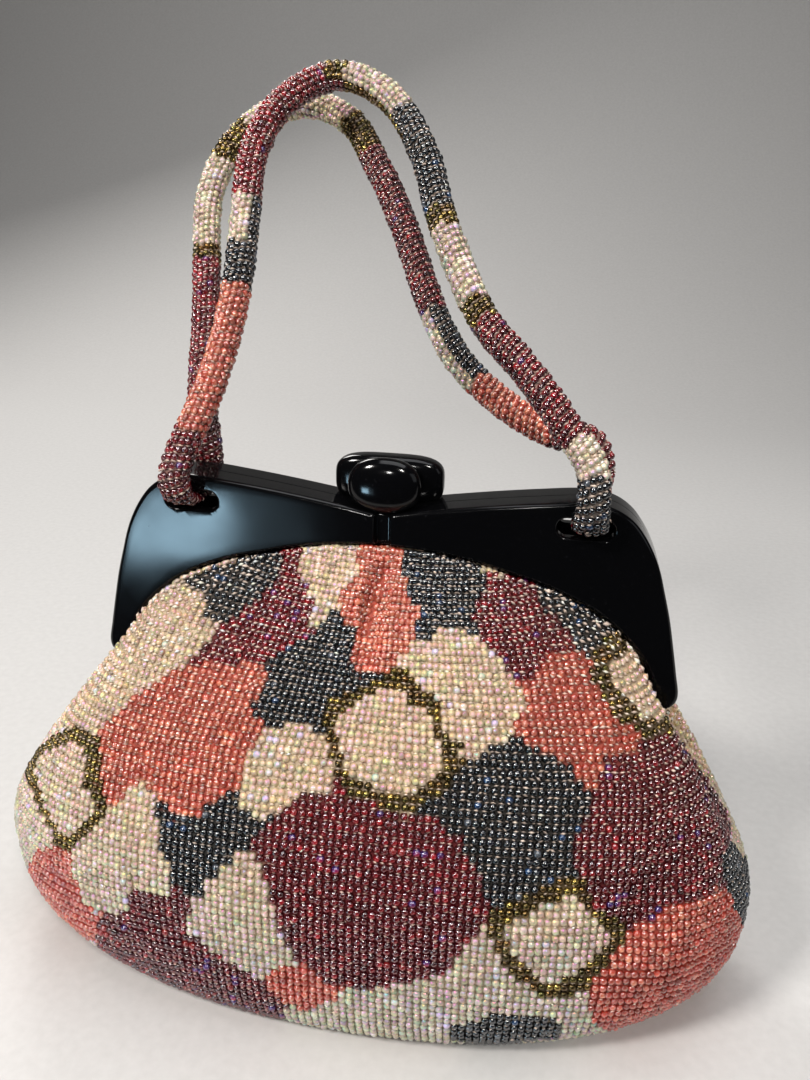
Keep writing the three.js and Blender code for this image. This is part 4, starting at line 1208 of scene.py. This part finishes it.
paper_z = np.concatenate([
    [PAPER_FOOT], PAPER_DROP * (np.sin(bend) - 1), PAPER_RADIUS * (1 - np.cos(bend)), [PAPER_TOP],
])
paper_points = [(side * PAPER_WIDTH / 2, y, z) for side in (-1, 1) for y, z in zip(paper_y, paper_z)]
paper_count = len(paper_y)
paper_faces = [(k, k + paper_count, k + paper_count + 1, k + 1) for k in range(paper_count - 1)]
floor_mesh = bpy.data.meshes.new("floor")
floor_mesh.from_pydata(paper_points, [], paper_faces)
floor_mesh.polygons.foreach_set("use_smooth", np.ones(len(paper_faces), bool))
floor_mesh.materials.append(floor_material)
floor = bpy.data.objects.new("floor", floor_mesh)
bpy.context.scene.collection.objects.link(floor)


def area_light(name, place, aim, size, power, colour):
    """A rectangular light of a width and height at a place, facing the point it is aimed at."""
    data = bpy.data.lights.new(name, "AREA")
    data.shape = "RECTANGLE"
    data.size, data.size_y = size
    data.energy = power
    data.color = colour
    light = bpy.data.objects.new(name, data)
    back = np.array(place) - np.array(aim)
    back = back / np.linalg.norm(back)
    side = np.cross([0, 0, 1], back)
    side = side / np.linalg.norm(side)
    axes = np.eye(4)
    axes[:3, :4] = np.stack([side, np.cross(back, side), back, place], axis=1)
    light.matrix_world = Matrix(axes.tolist())
    bpy.context.scene.collection.objects.link(light)


area_light("key", (-0.55, -0.6, 0.9), (0, 0, 0.1), (0.2, 0.2), 7.6, (1.0, 0.97, 0.93))
area_light("overhead", (0.15, 0.0, 1.35), (0, 0, 0.1), (0.9, 0.9), 6.0, (0.97, 0.98, 1.0))
area_light("sparkle", (0.3, -0.6, 0.75), (0, -0.05, 0.08), (0.1, 0.1), 2.5, (1.0, 0.97, 0.92))
area_light("flash", (-0.05, -0.8, 0.5), (0, -0.05, 0.1), (0.06, 0.06), 0.9, (1.0, 0.98, 0.95))
area_light("fill", (1.0, -0.4, 0.5), (0, 0, 0.1), (0.6, 0.6), 0.8, (0.93, 0.96, 1.0))
area_light("rear", (-0.6, 0.9, 0.8), (0, 0.03, 0.1), (0.4, 0.4), 4.5, (1.0, 0.98, 0.95))
area_light("window", (-0.22, -0.36, -0.005), (-0.06, -0.008, 0.14), (0.09, 0.05), 0.22, (0.55, 0.82, 1.0))
area_light("curtain", (-0.146, -0.36, 0.0), (-0.035, -0.008, 0.14), (0.045, 0.06), 0.01, (0.6, 0.84, 1.0))
world = bpy.data.worlds.new("studio")
world.use_nodes = True
world.node_tree.nodes["Background"].inputs["Color"].default_value = AIR_COLOUR
world.node_tree.nodes["Background"].inputs["Strength"].default_value = AIR_LIGHT
bpy.context.scene.world = world

bpy.context.scene.view_settings.view_transform = "Standard"
bpy.context.scene.view_settings.look = "Medium High Contrast"
